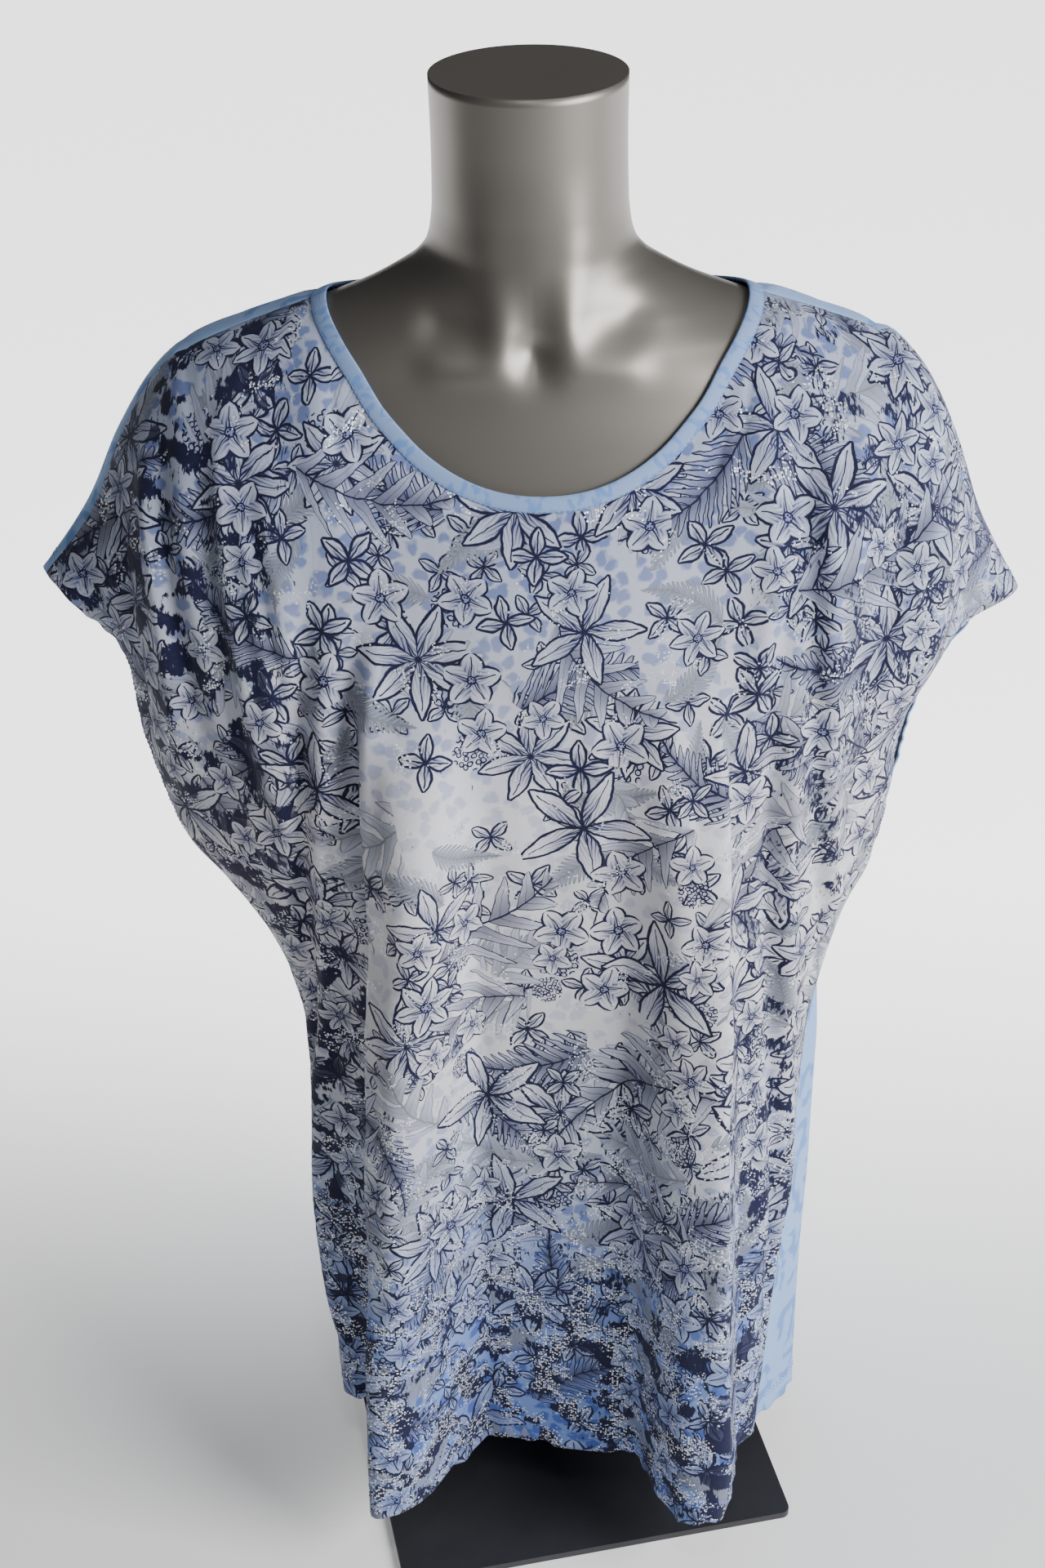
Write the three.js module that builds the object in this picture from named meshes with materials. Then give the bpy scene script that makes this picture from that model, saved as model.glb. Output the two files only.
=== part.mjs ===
// A wide, boxy blouse with grown-on cap sleeves, worn by a limbless display form on a square base plate.
// Millimetres, +Z up, the front of the blouse faces -Y, and left means -X. The origin is the centre of the
// base plate's underside. The cloth is a thin wall: each panel is a grid of columns, cut to one width, that
// start at the shoulder seam or the neckline, curve over the form and hang down to the hem.
import * as THREE from "three";

// ---------------------------------------------------------------- driving sizes

const clothWall = 1.5; // jersey with its turned edges
const seamGap = 0.3; // free space between two sewn pieces
const restGap = 1.1; // between the form and the inside of the cloth where the cloth rests
const hemHeight = 58; // above the surface that the base plate stands on
const underarmHeight = 470;

const bandWidth = 8.5; // neck binding, as it shows
const bandWall = 2.2;
const neck = { x: 3, y: 12, half: 123, front: 93, back: 74, frontPower: 2.15, backPower: 2.4 };

const plate = { side: 264, thick: 5, corner: 6, turn: THREE.MathUtils.degToRad(11.5) };
const formStands = { x: -4, y: 16 }; // the form's own middle, from the plate's middle
const post = { radius: 12.5, sides: 24 };

// The display form: half its width, and where its front and back lie, at each height. ridge is the line
// that its widest points follow, and power rounds the section (2 is an ellipse).
const formTable = [
  { z: 938, half: 53, front: -31, back: 71, ridge: 20, power: 2 },
  { z: 905, half: 52.5, front: -31, back: 70, ridge: 20, power: 2 },
  { z: 872, half: 53, front: -33, back: 71, ridge: 19, power: 2 },
  { z: 858, half: 54.5, front: -35, back: 72, ridge: 17, power: 1.95 },
  { z: 850, half: 57, front: -36.5, back: 72, ridge: 15, power: 1.85 },
  { z: 842, half: 64, front: -38, back: 71, ridge: 13, power: 1.78 },
  { z: 833, half: 80, front: -40, back: 70, ridge: 12, power: 1.68 },
  { z: 825, half: 98, front: -42, back: 71, ridge: 11, power: 1.65 },
  { z: 817, half: 120, front: -45, back: 74, ridge: 11, power: 1.65 },
  { z: 804, half: 158, front: -50, back: 82, ridge: 11, power: 1.7 },
  { z: 790, half: 191, front: -55, back: 91, ridge: 11, power: 1.8 },
  { z: 779, half: 202, front: -59, back: 99, ridge: 11, power: 1.85 },
  { z: 762, half: 207, front: -66, back: 103, ridge: 11, power: 2 },
  { z: 735, half: 206, front: -77, back: 108, ridge: 11, power: 2.1 },
  { z: 700, half: 196, front: -90, back: 111, ridge: 11, power: 2.15 },
  { z: 650, half: 178, front: -104, back: 108, ridge: 9, power: 2.2 },
  { z: 600, half: 163, front: -103, back: 100, ridge: 6, power: 2.2 },
  { z: 520, half: 138, front: -88, back: 84, ridge: 2, power: 2.2 },
  { z: 440, half: 118, front: -80, back: 74, ridge: 0, power: 2.2 },
  { z: 360, half: 132, front: -86, back: 92, ridge: 2, power: 2.2 },
  { z: 290, half: 143, front: -90, back: 104, ridge: 4, power: 2.2 },
  { z: 235, half: 143, front: -86, back: 102, ridge: 4, power: 2.2 },
  { z: 205, half: 138, front: -80, back: 96, ridge: 4, power: 2.2 },
];

// The shoulder seam, from the neck (share 0) out to the sleeve's tip (share 1), on each side. It runs along
// the form's ridge and then falls with the sleeve. tilt turns the cloth there forwards, in degrees.
const shoulderTable = [
  { share: 0, leftX: -120.6, leftY: 12, leftZ: 820, leftTilt: 0, rightX: 126.6, rightY: 12, rightZ: 820, rightTilt: 0 },
  { share: 0.22, leftX: -162, leftY: 10, leftZ: 807, leftTilt: 2, rightX: 161, rightY: 13, rightZ: 808, rightTilt: 0 },
  { share: 0.42, leftX: -197, leftY: 6, leftZ: 791, leftTilt: 8, rightX: 199, rightY: 16, rightZ: 792, rightTilt: -6 },
  { share: 0.52, leftX: -213, leftY: 3, leftZ: 775, leftTilt: 12, rightX: 217, rightY: 17, rightZ: 772, rightTilt: -9 },
  { share: 0.65, leftX: -230, leftY: -2, leftZ: 747, leftTilt: 18, rightX: 231, rightY: 18, rightZ: 744, rightTilt: -12 },
  { share: 0.82, leftX: -249, leftY: -8, leftZ: 706, leftTilt: 26, rightX: 250, rightY: 18, rightZ: 691, rightTilt: -15 },
  { share: 1, leftX: -279, leftY: -13, leftZ: 668, leftTilt: 32, rightX: 280, rightY: 17, rightZ: 633, rightTilt: -18 },
];
const neckShare = 0.44; // of a panel's half width, where the neckline gives way to the shoulder seam

// Level sections of the two panels: the points where each one ends at the left and right, how far it stands
// in front of (or behind) the line between them, and its roundness. Both end at the same line below the arm.
const frontSections = [
  { z: 604, leftX: -236, leftY: -16, rightX: 232, rightY: -12, deep: 99, power: 2 },
  { z: 574, leftX: -233, leftY: -20, rightX: 216, rightY: -20, deep: 97, power: 1.9 },
  { z: 546, leftX: -226, leftY: -24, rightX: 210, rightY: -22, deep: 94, power: 1.85 },
  { z: 504, leftX: -216, leftY: -18, rightX: 206, rightY: -17, deep: 96, power: 1.85 },
  { z: 470, leftX: -198, leftY: -3, rightX: 202, rightY: -5, deep: 108, power: 1.95 },
  { z: 440, leftX: -176, leftY: -1, rightX: 188, rightY: -9, deep: 106, power: 2.1 },
  { z: 405, leftX: -159, leftY: 0, rightX: 176, rightY: -16, deep: 101, power: 2.3 },
  { z: 365, leftX: -149, leftY: -1, rightX: 166, rightY: -28, deep: 94, power: 2.5 },
  { z: 290, leftX: -149, leftY: -4, rightX: 157, rightY: -54, deep: 79, power: 2.5 },
  { z: 222, leftX: -151, leftY: -8, rightX: 150, rightY: -70, deep: 68, power: 2.5 },
  { z: 140, leftX: -147, leftY: -16, rightX: 143, rightY: -82, deep: 56, power: 2.5 },
  { z: 58, leftX: -138, leftY: -28, rightX: 135, rightY: -92, deep: 44, power: 2.5 },
];
const backSections = [
  { z: 604, leftX: -247, leftY: 20, rightX: 256, rightY: 22, deep: 88, power: 2 },
  { z: 574, leftX: -238, leftY: 26, rightX: 238, rightY: 26, deep: 85, power: 1.95 },
  { z: 546, leftX: -230, leftY: 28, rightX: 227, rightY: 27, deep: 82, power: 1.9 },
  { z: 504, leftX: -217, leftY: 18, rightX: 217, rightY: 18, deep: 87, power: 1.9 },
  { z: 470, leftX: -198, leftY: -3, rightX: 202, rightY: -5, deep: 104, power: 1.95 },
  { z: 440, leftX: -176, leftY: -1, rightX: 188, rightY: -9, deep: 107, power: 2.1 },
  { z: 405, leftX: -159, leftY: 0, rightX: 176, rightY: -16, deep: 112, power: 2.3 },
  { z: 365, leftX: -149, leftY: -1, rightX: 166, rightY: -28, deep: 119, power: 2.4 },
  { z: 290, leftX: -149, leftY: -4, rightX: 157, rightY: -54, deep: 124, power: 2.4 },
  { z: 222, leftX: -151, leftY: -8, rightX: 150, rightY: -70, deep: 124, power: 2.4 },
  { z: 140, leftX: -147, leftY: -16, rightX: 143, rightY: -82, deep: 122, power: 2.4 },
  { z: 58, leftX: -138, leftY: -28, rightX: 135, rightY: -92, deep: 120, power: 2.4 },
];

// Flat width of each panel at each height: the side seams come in a little towards the hem.
const cutTable = [
  { z: 604, front: 556, back: 590 },
  { z: 546, front: 556, back: 574 },
  { z: 470, front: 558, back: 562 },
  { z: 350, front: 542, back: 545 },
  { z: 58, front: 538, back: 538 },
];

// Flutes: the hanging folds that take up what is left of a panel's flat width. Each runs from its top height
// down to the hem. Its place is its distance right of the middle, or beyond sideStart, counted in hundredths
// of the way round to the seam. share says how the spare cloth is divided between them at the top, and hemShare
// at the hem. lean tips a flute sideways by that much of its depth.
const sideStart = 118;
const frontFlutes = [
  { name: "left", top: 660, topAt: -70, hemAt: -77, half: 35, share: 1, hemShare: 1.45, lean: -0.06 },
  { name: "right", top: 650, topAt: 78, hemAt: 88, half: 36, share: 1, hemShare: 1, lean: 0.1 },
  { name: "left side", top: 560, topAt: -158, hemAt: -160, half: 30, share: 0.12, hemShare: 0.12, lean: 0 },
];
const backFlutes = [
  { name: "left", top: 700, topAt: -92, hemAt: -96, half: 50, share: 1, hemShare: 1, lean: -0.1 },
  { name: "middle", top: 640, topAt: 4, hemAt: 2, half: 44, share: 0.55, hemShare: 0.9, lean: 0.1 },
  { name: "right", top: 700, topAt: 90, hemAt: 96, half: 48, share: 0.95, hemShare: 0.8, lean: 0.1 },
  { name: "right side", top: 440, topAt: 172, hemAt: 168, half: 48, share: 0.05, hemShare: 0.85, lean: 0 },
];

// Creases above the bust, soft ridges (rise > 0) and troughs (rise < 0) that follow a line in front view.
const frontCreases = [
  { topX: -150, topZ: 780, endX: -138, endZ: 500, half: 15, rise: 5 },
  { topX: -180, topZ: 760, endX: -166, endZ: 480, half: 15, rise: -4.5 },
  { topX: -212, topZ: 752, endX: -200, endZ: 520, half: 14, rise: 4.5 },
  { topX: 164, topZ: 780, endX: 150, endZ: 490, half: 15, rise: 5 },
  { topX: 194, topZ: 758, endX: 182, endZ: 490, half: 15, rise: -4.5 },
  { topX: 222, topZ: 745, endX: 212, endZ: 560, half: 14, rise: 5 },
];
const backCreases = [
  { topX: -150, topZ: 770, endX: -120, endZ: 540, half: 18, rise: 4 },
  { topX: -190, topZ: 750, endX: -170, endZ: 520, half: 18, rise: -4 },
  { topX: 150, topZ: 770, endX: 122, endZ: 540, half: 18, rise: 4 },
  { topX: 192, topZ: 750, endX: 172, endZ: 520, half: 18, rise: -4 },
];

const chestHeight = frontSections[0].z; // where the columns stop leaning on the form and begin to hang

// ---------------------------------------------------------------- small tools

const { abs, sign, sin, cos, min, max, hypot, PI } = Math;
const lerp = (a, b, t) => a + (b - a) * t;
const clamp01 = (t) => min(1, max(0, t));
const smooth = (t) => clamp01(t) ** 2 * (3 - 2 * clamp01(t));
const V = (x, y, z) => new THREE.Vector3(x, y, z);

// One column of a table as a function of its key: a cubic through the rows that never overshoots them.
function column(table, key, name) {
  const rows = [...table].sort((a, b) => a[key] - b[key]);
  const x = rows.map((row) => row[key]);
  const y = rows.map((row) => row[name]);
  const rise = x.slice(1).map((value, i) => (y[i + 1] - y[i]) / (value - x[i]));
  const slope = x.map((_, i) => {
    if (i === 0) return rise[0];
    if (i === x.length - 1) return rise[i - 1];
    return rise[i - 1] * rise[i] <= 0 ? 0 : (2 * rise[i - 1] * rise[i]) / (rise[i - 1] + rise[i]);
  });
  return (at) => {
    const here = min(x[x.length - 1], max(x[0], at));
    let i = 0;
    while (i < x.length - 2 && here > x[i + 1]) i += 1;
    const step = x[i + 1] - x[i];
    const t = (here - x[i]) / step;
    const a = 2 * t ** 3 - 3 * t ** 2 + 1;
    const b = t ** 3 - 2 * t ** 2 + t;
    const c = t ** 3 - t ** 2;
    return a * y[i] + b * step * slope[i] + (1 - a) * y[i + 1] + c * step * slope[i + 1];
  };
}

function columns(table, key) {
  const names = Object.keys(table[0]).filter((name) => name !== key && name !== "name");
  return Object.fromEntries(names.map((name) => [name, column(table, key, name)]));
}

// ---------------------------------------------------------------- the display form

const form = columns(formTable, "z");
const formTop = formTable[0].z;
const formBottom = formTable[formTable.length - 1].z;

// Above 0 outside the form and below 0 inside it, roughly in millimetres.
function formField(p) {
  const dy = p.y - form.ridge(p.z);
  const deep = dy < 0 ? form.ridge(p.z) - form.front(p.z) : form.back(p.z) - form.ridge(p.z);
  const n = form.power(p.z);
  const ratio = ((abs(p.x) / form.half(p.z)) ** n + (abs(dy) / deep) ** n) ** (1 / n);
  return (ratio - 1) * min(form.half(p.z), deep);
}

function formNormal(p) {
  const e = 0.5;
  return V(
    formField(V(p.x + e, p.y, p.z)) - formField(V(p.x - e, p.y, p.z)),
    formField(V(p.x, p.y + e, p.z)) - formField(V(p.x, p.y - e, p.z)),
    formField(V(p.x, p.y, p.z + e)) - formField(V(p.x, p.y, p.z - e)),
  ).divideScalar(2 * e);
}

// Distance to the form's surface, to first order.
function formDistance(p) {
  return formField(p) / formNormal(p).length();
}

// Moves p straight away from the form until it is at least gap clear of it; exact also pulls it in.
function clearOfForm(p, gap, exact = false) {
  for (let i = 0; i < 6; i += 1) {
    const slope = formNormal(p);
    const short = gap - formField(p) / slope.length();
    if (short <= 0 && !exact) break;
    p.addScaledVector(slope.normalize(), short * 0.9);
  }
  return p;
}

// The point straight above or below (x, y) on the form's shoulders or chest, gap clear of it.
function onForm(x, y, gap) {
  let low = 640;
  let high = 870;
  for (let i = 0; i < 30; i += 1) {
    const z = (low + high) / 2;
    if (formDistance(V(x, y, z)) < gap) low = z;
    else high = z;
  }
  return clearOfForm(V(x, y, (low + high) / 2), gap, true);
}

// Collarbones, the notch between them and the two cords of the neck, as a rise in millimetres.
const relief = [
  { x: 0, z: 808, wide: 15, tall: 15, rise: -6 },
  { x: 22, z: 824, wide: 13, tall: 20, rise: 3.4 },
  { x: 30, z: 852, wide: 13, tall: 30, rise: 1.6 },
  { x: 52, z: 820, wide: 20, tall: 9, rise: -3 },
  { x: 40, z: 800, wide: 30, tall: 9, rise: 2.6 },
];
function formRelief(x, z) {
  return relief.reduce((sum, mark) => {
    const off = ((abs(x) - mark.x) / mark.wide) ** 2 + ((z - mark.z) / mark.tall) ** 2;
    return sum + mark.rise * Math.exp(-off);
  }, 0);
}

// Joins rings of points, each a closed loop, into one closed solid with flat ends.
function solidOfRings(rings, closedLoop) {
  const count = rings[0].length;
  const points = rings.flat();
  const faces = [];
  const last = closedLoop ? rings.length : rings.length - 1;
  for (let r = 0; r < last; r += 1) {
    for (let i = 0; i < count; i += 1) {
      const a = r * count + i;
      const b = r * count + ((i + 1) % count);
      const c = ((r + 1) % rings.length) * count + i;
      const d = ((r + 1) % rings.length) * count + ((i + 1) % count);
      faces.push([a, b, d], [a, d, c]);
    }
  }
  if (!closedLoop) {
    [0, rings.length - 1].forEach((r) => {
      const middle = points.length;
      points.push(rings[r].reduce((sum, p) => sum.add(p), V(0, 0, 0)).divideScalar(count));
      for (let i = 0; i < count; i += 1) {
        const a = r * count + i;
        const b = r * count + ((i + 1) % count);
        faces.push(r === 0 ? [middle, b, a] : [middle, a, b]);
      }
    });
  }
  return facingOut(points, faces);
}

// A geometry from points and triangles, turned round if its triangles face inwards.
function facingOut(points, faces) {
  const volume = faces.reduce((sum, [a, b, c]) => sum + points[a].dot(V(0, 0, 0).crossVectors(points[b], points[c])), 0);
  const turned = volume < 0 ? faces.map(([a, b, c]) => [a, c, b]) : faces;
  const geometry = new THREE.BufferGeometry();
  geometry.setAttribute("position", new THREE.Float32BufferAttribute(points.flatMap((p) => [p.x, p.y, p.z]), 3));
  geometry.setIndex(turned.flat());
  geometry.computeVertexNormals();
  return geometry;
}

function formGeometry() {
  const around = 40;
  const levels = [205, 235, 262, 290, 325, 360, 400, 440, 480, 520, 560, 600, 625, 650, 675, 700, 720, 738, 752, 764,
    773, 781, 788, 794, 800, 806, 812, 817, 822, 828, 834, 840, 846, 852, 860, 872, 888, 910, 938];
  const rings = levels.map((z) => {
    const power = 2 / form.power(z);
    return Array.from({ length: around }, (_, i) => {
      const turn = (2 * PI * i) / around;
      const c = cos(turn);
      const s = sin(turn);
      const deep = s < 0 ? form.ridge(z) - form.front(z) : form.back(z) - form.ridge(z);
      const p = V(form.half(z) * sign(c) * abs(c) ** power, form.ridge(z) + deep * sign(s) * abs(s) ** power, z);
      const rise = s < 0 ? formRelief(p.x, z) * smooth(-s * 2) * smooth((70 - abs(p.x)) / 20) : 0;
      const outwards = formNormal(p).setZ(0).normalize();
      return p.addScaledVector(outwards, rise);
    });
  });
  return solidOfRings(rings, false);
}

// ---------------------------------------------------------------- neckline and shoulder seams

// A point of the neckline, by turn: 0 at the right shoulder, a quarter turn at the front, half a turn at the
// left shoulder and three quarters at the back. It is an oval in top view, laid on the form.
function neckline(turn, gap) {
  const front = sin(turn) >= 0;
  const power = 2 / (front ? neck.frontPower : neck.backPower);
  const x = neck.x + neck.half * sign(cos(turn)) * abs(cos(turn)) ** power;
  const deep = front ? -neck.front : neck.back;
  const y = neck.y + deep * abs(sin(turn)) ** power;
  return onForm(x, y, gap);
}

// The neckline's point, the cloth's outward normal there, and the way from the neck into the panel.
function neckFrame(turn) {
  const clear = restGap + clothWall;
  const p = neckline(turn, clear);
  const along = neckline(turn + 0.02, clear).sub(neckline(turn - 0.02, clear)).normalize();
  const normal = formNormal(p).normalize();
  const away = V(0, 0, 0).crossVectors(normal, along).normalize();
  if (away.dot(V(p.x - neck.x, p.y - neck.y, -60)) < 0) away.negate();
  return { p, normal, away };
}

// The neckline's turn at column u of a panel.
function neckTurn(panel, u) {
  const mix = min(1, max(-1, u / neckShare));
  const angle = (PI / 2) * (0.9 * mix + (0.2 / PI) * Math.asin(mix));
  return -panel.side * (PI / 2 - angle);
}

const shoulder = columns(shoulderTable, "share");
function seamPoint(side, share) {
  const at = side < 0 ? "left" : "right";
  const p = V(shoulder[at + "X"](share), shoulder[at + "Y"](share), shoulder[at + "Z"](share));
  return clearOfForm(p, restGap + clothWall, share < 0.4);
}

// The seam's direction (away from the neck), the cloth's outward normal there, and the way to the front.
function seamFrame(side, share) {
  const e = 0.02;
  const along = seamPoint(side, min(1, share + e)).sub(seamPoint(side, max(0, share - e))).normalize();
  const tilt = THREE.MathUtils.degToRad(side < 0 ? shoulder.leftTilt(share) : shoulder.rightTilt(share));
  const up = V(0, 0, 0).crossVectors(along, V(0, 1, 0)).normalize();
  if (up.z < 0) up.negate();
  const normal = up.applyAxisAngle(along, side * tilt);
  const forward = V(0, 0, 0).crossVectors(along, normal).normalize();
  if (forward.y > 0) forward.negate();
  return { normal, forward };
}

// ---------------------------------------------------------------- level sections with flutes

const bump = (q) => (abs(q) < 1 ? (1 - abs(q) ** 2.2) ** 2 : 0);
const samples = 400;
const lengths = (line) => {
  const reach = [0];
  line.slice(1).forEach((p, i) => reach.push(reach[i] + p.distanceTo(line[i])));
  return reach;
};

// The section of a panel at height z as a dense line from left to right, with each point's place. The
// flutes are deepened until the line is as long as the panel is wide there.
function sectionLine(panel, z) {
  const s = panel.sections;
  const left = V(s.leftX(z), s.leftY(z), z);
  const right = V(s.rightX(z), s.rightY(z), z);
  const middle = left.clone().lerp(right, 0.5);
  const half = left.distanceTo(right) / 2;
  const across = right.clone().sub(left).normalize();
  const outwards = V(across.y, -across.x, 0).multiplyScalar(-panel.side);
  const power = 2 / s.power(z);
  const base = Array.from({ length: samples + 1 }, (_, i) => {
    const turn = PI * (1 - i / samples);
    const p = middle.clone().addScaledVector(across, half * sign(cos(turn)) * abs(cos(turn)) ** power);
    return p.addScaledVector(outwards, s.deep(z) * abs(sin(turn)) ** power);
  });
  const reach = lengths(base);
  const leftStart = reach[base.findIndex((p) => p.x >= -sideStart)];
  const rightStart = reach[base.findIndex((p) => p.x >= sideStart)];
  const places = base.map((p, i) => {
    if (reach[i] < leftStart) return -sideStart - 100 * (1 - reach[i] / leftStart);
    if (reach[i] > rightStart) return sideStart + (100 * (reach[i] - rightStart)) / (reach[samples] - rightStart);
    return max(-sideStart, min(sideStart, p.x));
  });
  const normals = base.map((p, i) => {
    const along = base[min(samples, i + 1)].clone().sub(base[max(0, i - 1)]).normalize();
    return V(along.y, -along.x, 0).multiplyScalar(-panel.side);
  });
  const down = clamp01((chestHeight - z) / (chestHeight - hemHeight));
  const shapes = panel.flutes.map((flute) => {
    const begin = smooth((flute.top - z) / 120) * lerp(flute.share, flute.hemShare, down);
    return places.map((place) => bump((place - lerp(flute.topAt, flute.hemAt, down)) / flute.half) * begin);
  });
  const trace = (depth) =>
    base.map((p, i) => {
      const q = p.clone();
      panel.flutes.forEach((flute, f) => {
        const deep = shapes[f][i] * depth;
        q.addScaledVector(normals[i], deep).addScaledVector(across, (flute.lean * deep * deep) / max(depth, 1));
      });
      return q;
    });
  const width = panel.width(z);
  let shallow = 0;
  let deep = 110;
  for (let i = 0; i < 18; i += 1) {
    const depth = (shallow + deep) / 2;
    if (lengths(trace(depth))[samples] < width) shallow = depth;
    else deep = depth;
  }
  return { line: trace(shallow), places };
}

// The value of a rising list's partner at a wanted key.
function lookup(keys, values, want, mix) {
  let low = 0;
  let high = keys.length - 1;
  while (high - low > 1) {
    const half = (low + high) >> 1;
    if (keys[half] <= want) low = half;
    else high = half;
  }
  return mix(values[low], values[high], clamp01((want - keys[low]) / (keys[high] - keys[low] || 1)));
}
const between = (a, b, t) => a.clone().lerp(b, t);

// ---------------------------------------------------------------- panels

const panels = {
  front: {
    side: -1, sections: columns(frontSections, "z"), width: column(cutTable, "z", "front"),
    flutes: frontFlutes, creases: frontCreases, spring: 1.05, settle: 1, stand: 1.8,
  },
  back: {
    side: 1, sections: columns(backSections, "z"), width: column(cutTable, "z", "back"),
    flutes: backFlutes, creases: backCreases, spring: 1, settle: 1, stand: 2.4,
  },
};

// The top of column u: on the neckline in the middle, on the shoulder seam at the sides. It gives the point,
// the way the cloth leaves it, and the cloth's outward normal.
function columnTop(panel, u, next) {
  const clear = restGap + clothWall;
  const turn = neckTurn(panel, u);
  const neckHere = neckFrame(turn);
  if (abs(u) < neckShare - 1e-6) {
    const { p, normal, away } = neckHere;
    const leave = next.clone().sub(p);
    leave.addScaledVector(normal, -leave.dot(normal)).normalize();
    return { p: p.addScaledVector(away, seamGap * 1.2), leave, normal };
  }
  const side = sign(u);
  const share = (abs(u) - neckShare) / (1 - neckShare);
  const { normal: seamNormal, forward } = seamFrame(side, share);
  const normal = seamNormal.lerp(neckHere.normal, 1 - smooth(share / 0.15)).normalize();
  const straight = next.clone().sub(seamPoint(side, share));
  straight.addScaledVector(normal, -straight.dot(normal)).normalize();
  const leave = straight.lerp(forward.multiplyScalar(-panel.side), smooth(share / 0.4)).normalize();
  const p = share < 1e-6 ? neckHere.p.addScaledVector(neckHere.away, seamGap * 1.2) : seamPoint(side, share);
  p.y += (panel.side * seamGap) / 2;
  return { p, leave, normal };
}

function creaseRise(panel, p) {
  return panel.creases.reduce((sum, crease) => {
    const down = (crease.topZ - p.z) / (crease.topZ - crease.endZ);
    if (down <= 0 || down >= 1) return sum;
    const off = (p.x - lerp(crease.topX, crease.endX, down)) / crease.half;
    return sum + crease.rise * Math.exp(-off * off) * smooth(down * 4) * smooth((1 - down) * 3);
  }, 0);
}

// The outer face of a panel as rows of points, from the top edge down to the hem.
function panelRows(panel, us, arcs, levels) {
  const chest = sectionLine(panel, chestHeight);
  const below = sectionLine(panel, chestHeight - 20);
  const reach = lengths(chest.line);
  const places = us.map((u) => lookup(reach, chest.places, ((u + 1) / 2) * reach[samples], lerp));
  const ends = places.map((place) => lookup(chest.places, chest.line, place, between));
  const falls = places.map((place, i) => lookup(below.places, below.line, place, between).sub(ends[i]).divideScalar(20));
  const tops = us.map((u, i) => columnTop(panel, u, ends[i]));
  const arcRows = arcs.map((t) =>
    us.map((u, i) => {
      const far = tops[i].p.distanceTo(ends[i]);
      const a = 2 * t ** 3 - 3 * t ** 2 + 1;
      const b = t ** 3 - 2 * t ** 2 + t;
      const c = t ** 3 - t ** 2;
      return tops[i].p.clone().multiplyScalar(a).addScaledVector(tops[i].leave, b * far * panel.spring)
        .addScaledVector(ends[i], 1 - a).addScaledVector(falls[i], c * far * panel.settle);
    }),
  );
  const hangRows = levels.map((z) => {
    const section = sectionLine(panel, z);
    return places.map((place) => lookup(section.places, section.line, place, between));
  });
  const rows = [...arcRows, ...hangRows];
  rows.forEach((row, r) => {
    if (r === 0) return;
    row.forEach((p, i) => {
      const edge = smooth(min(1 - abs(us[i]), 0.2) * 8);
      const bend = creaseRise(panel, p) * edge * smooth(r / 3);
      p.addScaledVector(V(p.x * 0.4, p.y - 10, 0).normalize(), bend);
      clearOfForm(p, restGap + clothWall + panel.stand * smooth(r / 3));
    });
  });
  return { rows, tops };
}

// The outward normals of the rows. At a seam both panels take the same one, so that their edges meet face
// to face.
function rowNormals(panel, rows, tops, levels) {
  const sections = panel.sections;
  return rows.map((row, r) =>
    row.map((p, i) => {
      if (r === 0) return tops[i].normal.clone();
      const across = row[min(i + 1, row.length - 1)].clone().sub(row[max(i - 1, 0)]);
      const down = rows[min(r + 1, rows.length - 1)][i].clone().sub(rows[r - 1][i]);
      const normal = V(0, 0, 0).crossVectors(across, down).normalize().multiplyScalar(panel.side);
      const seam = (i === 0 || i === row.length - 1) && levels[r] <= underarmHeight;
      if (seam) {
        const z = levels[r];
        const line = V(sections.rightX(z) - sections.leftX(z), sections.rightY(z) - sections.leftY(z), 0).normalize();
        return line.multiplyScalar(i === 0 ? -1 : 1);
      }
      return normal;
    }),
  );
}

// A wall between an outer face and the same face moved in by the wall, closed along its four edges.
function wallGeometry(outer, normals, wall) {
  const inner = outer.map((row, r) => row.map((p, i) => p.clone().addScaledVector(normals[r][i], -wall)));
  const wide = outer[0].length;
  const tall = outer.length;
  const points = [...outer.flat(), ...inner.flat()];
  const at = (layer, r, i) => layer * wide * tall + r * wide + i;
  const faces = [];
  const quad = (a, b, c, d) => faces.push([a, b, c], [a, c, d]);
  for (let r = 0; r < tall - 1; r += 1) {
    for (let i = 0; i < wide - 1; i += 1) {
      quad(at(0, r, i), at(0, r, i + 1), at(0, r + 1, i + 1), at(0, r + 1, i));
      quad(at(1, r, i), at(1, r + 1, i), at(1, r + 1, i + 1), at(1, r, i + 1));
    }
  }
  for (let i = 0; i < wide - 1; i += 1) {
    quad(at(0, 0, i + 1), at(0, 0, i), at(1, 0, i), at(1, 0, i + 1));
    quad(at(0, tall - 1, i), at(0, tall - 1, i + 1), at(1, tall - 1, i + 1), at(1, tall - 1, i));
  }
  for (let r = 0; r < tall - 1; r += 1) {
    quad(at(0, r, 0), at(0, r + 1, 0), at(1, r + 1, 0), at(1, r, 0));
    quad(at(0, r + 1, wide - 1), at(0, r, wide - 1), at(1, r, wide - 1), at(1, r + 1, wide - 1));
  }
  return facingOut(points, faces);
}

// Columns stand closer where the neckline turns up to the shoulder.
function columnPlaces(neckSteps, shoulderSteps) {
  const places = [];
  for (let i = 0; i <= shoulderSteps; i += 1) places.push(-1 + ((1 - neckShare) * i) / shoulderSteps);
  for (let i = 1; i < neckSteps; i += 1) {
    const even = (2 * i) / neckSteps - 1;
    places.push(neckShare * (0.75 * even + 0.25 * sin((PI / 2) * even)));
  }
  for (let i = 0; i <= shoulderSteps; i += 1) places.push(neckShare + ((1 - neckShare) * i) / shoulderSteps);
  return places;
}

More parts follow.
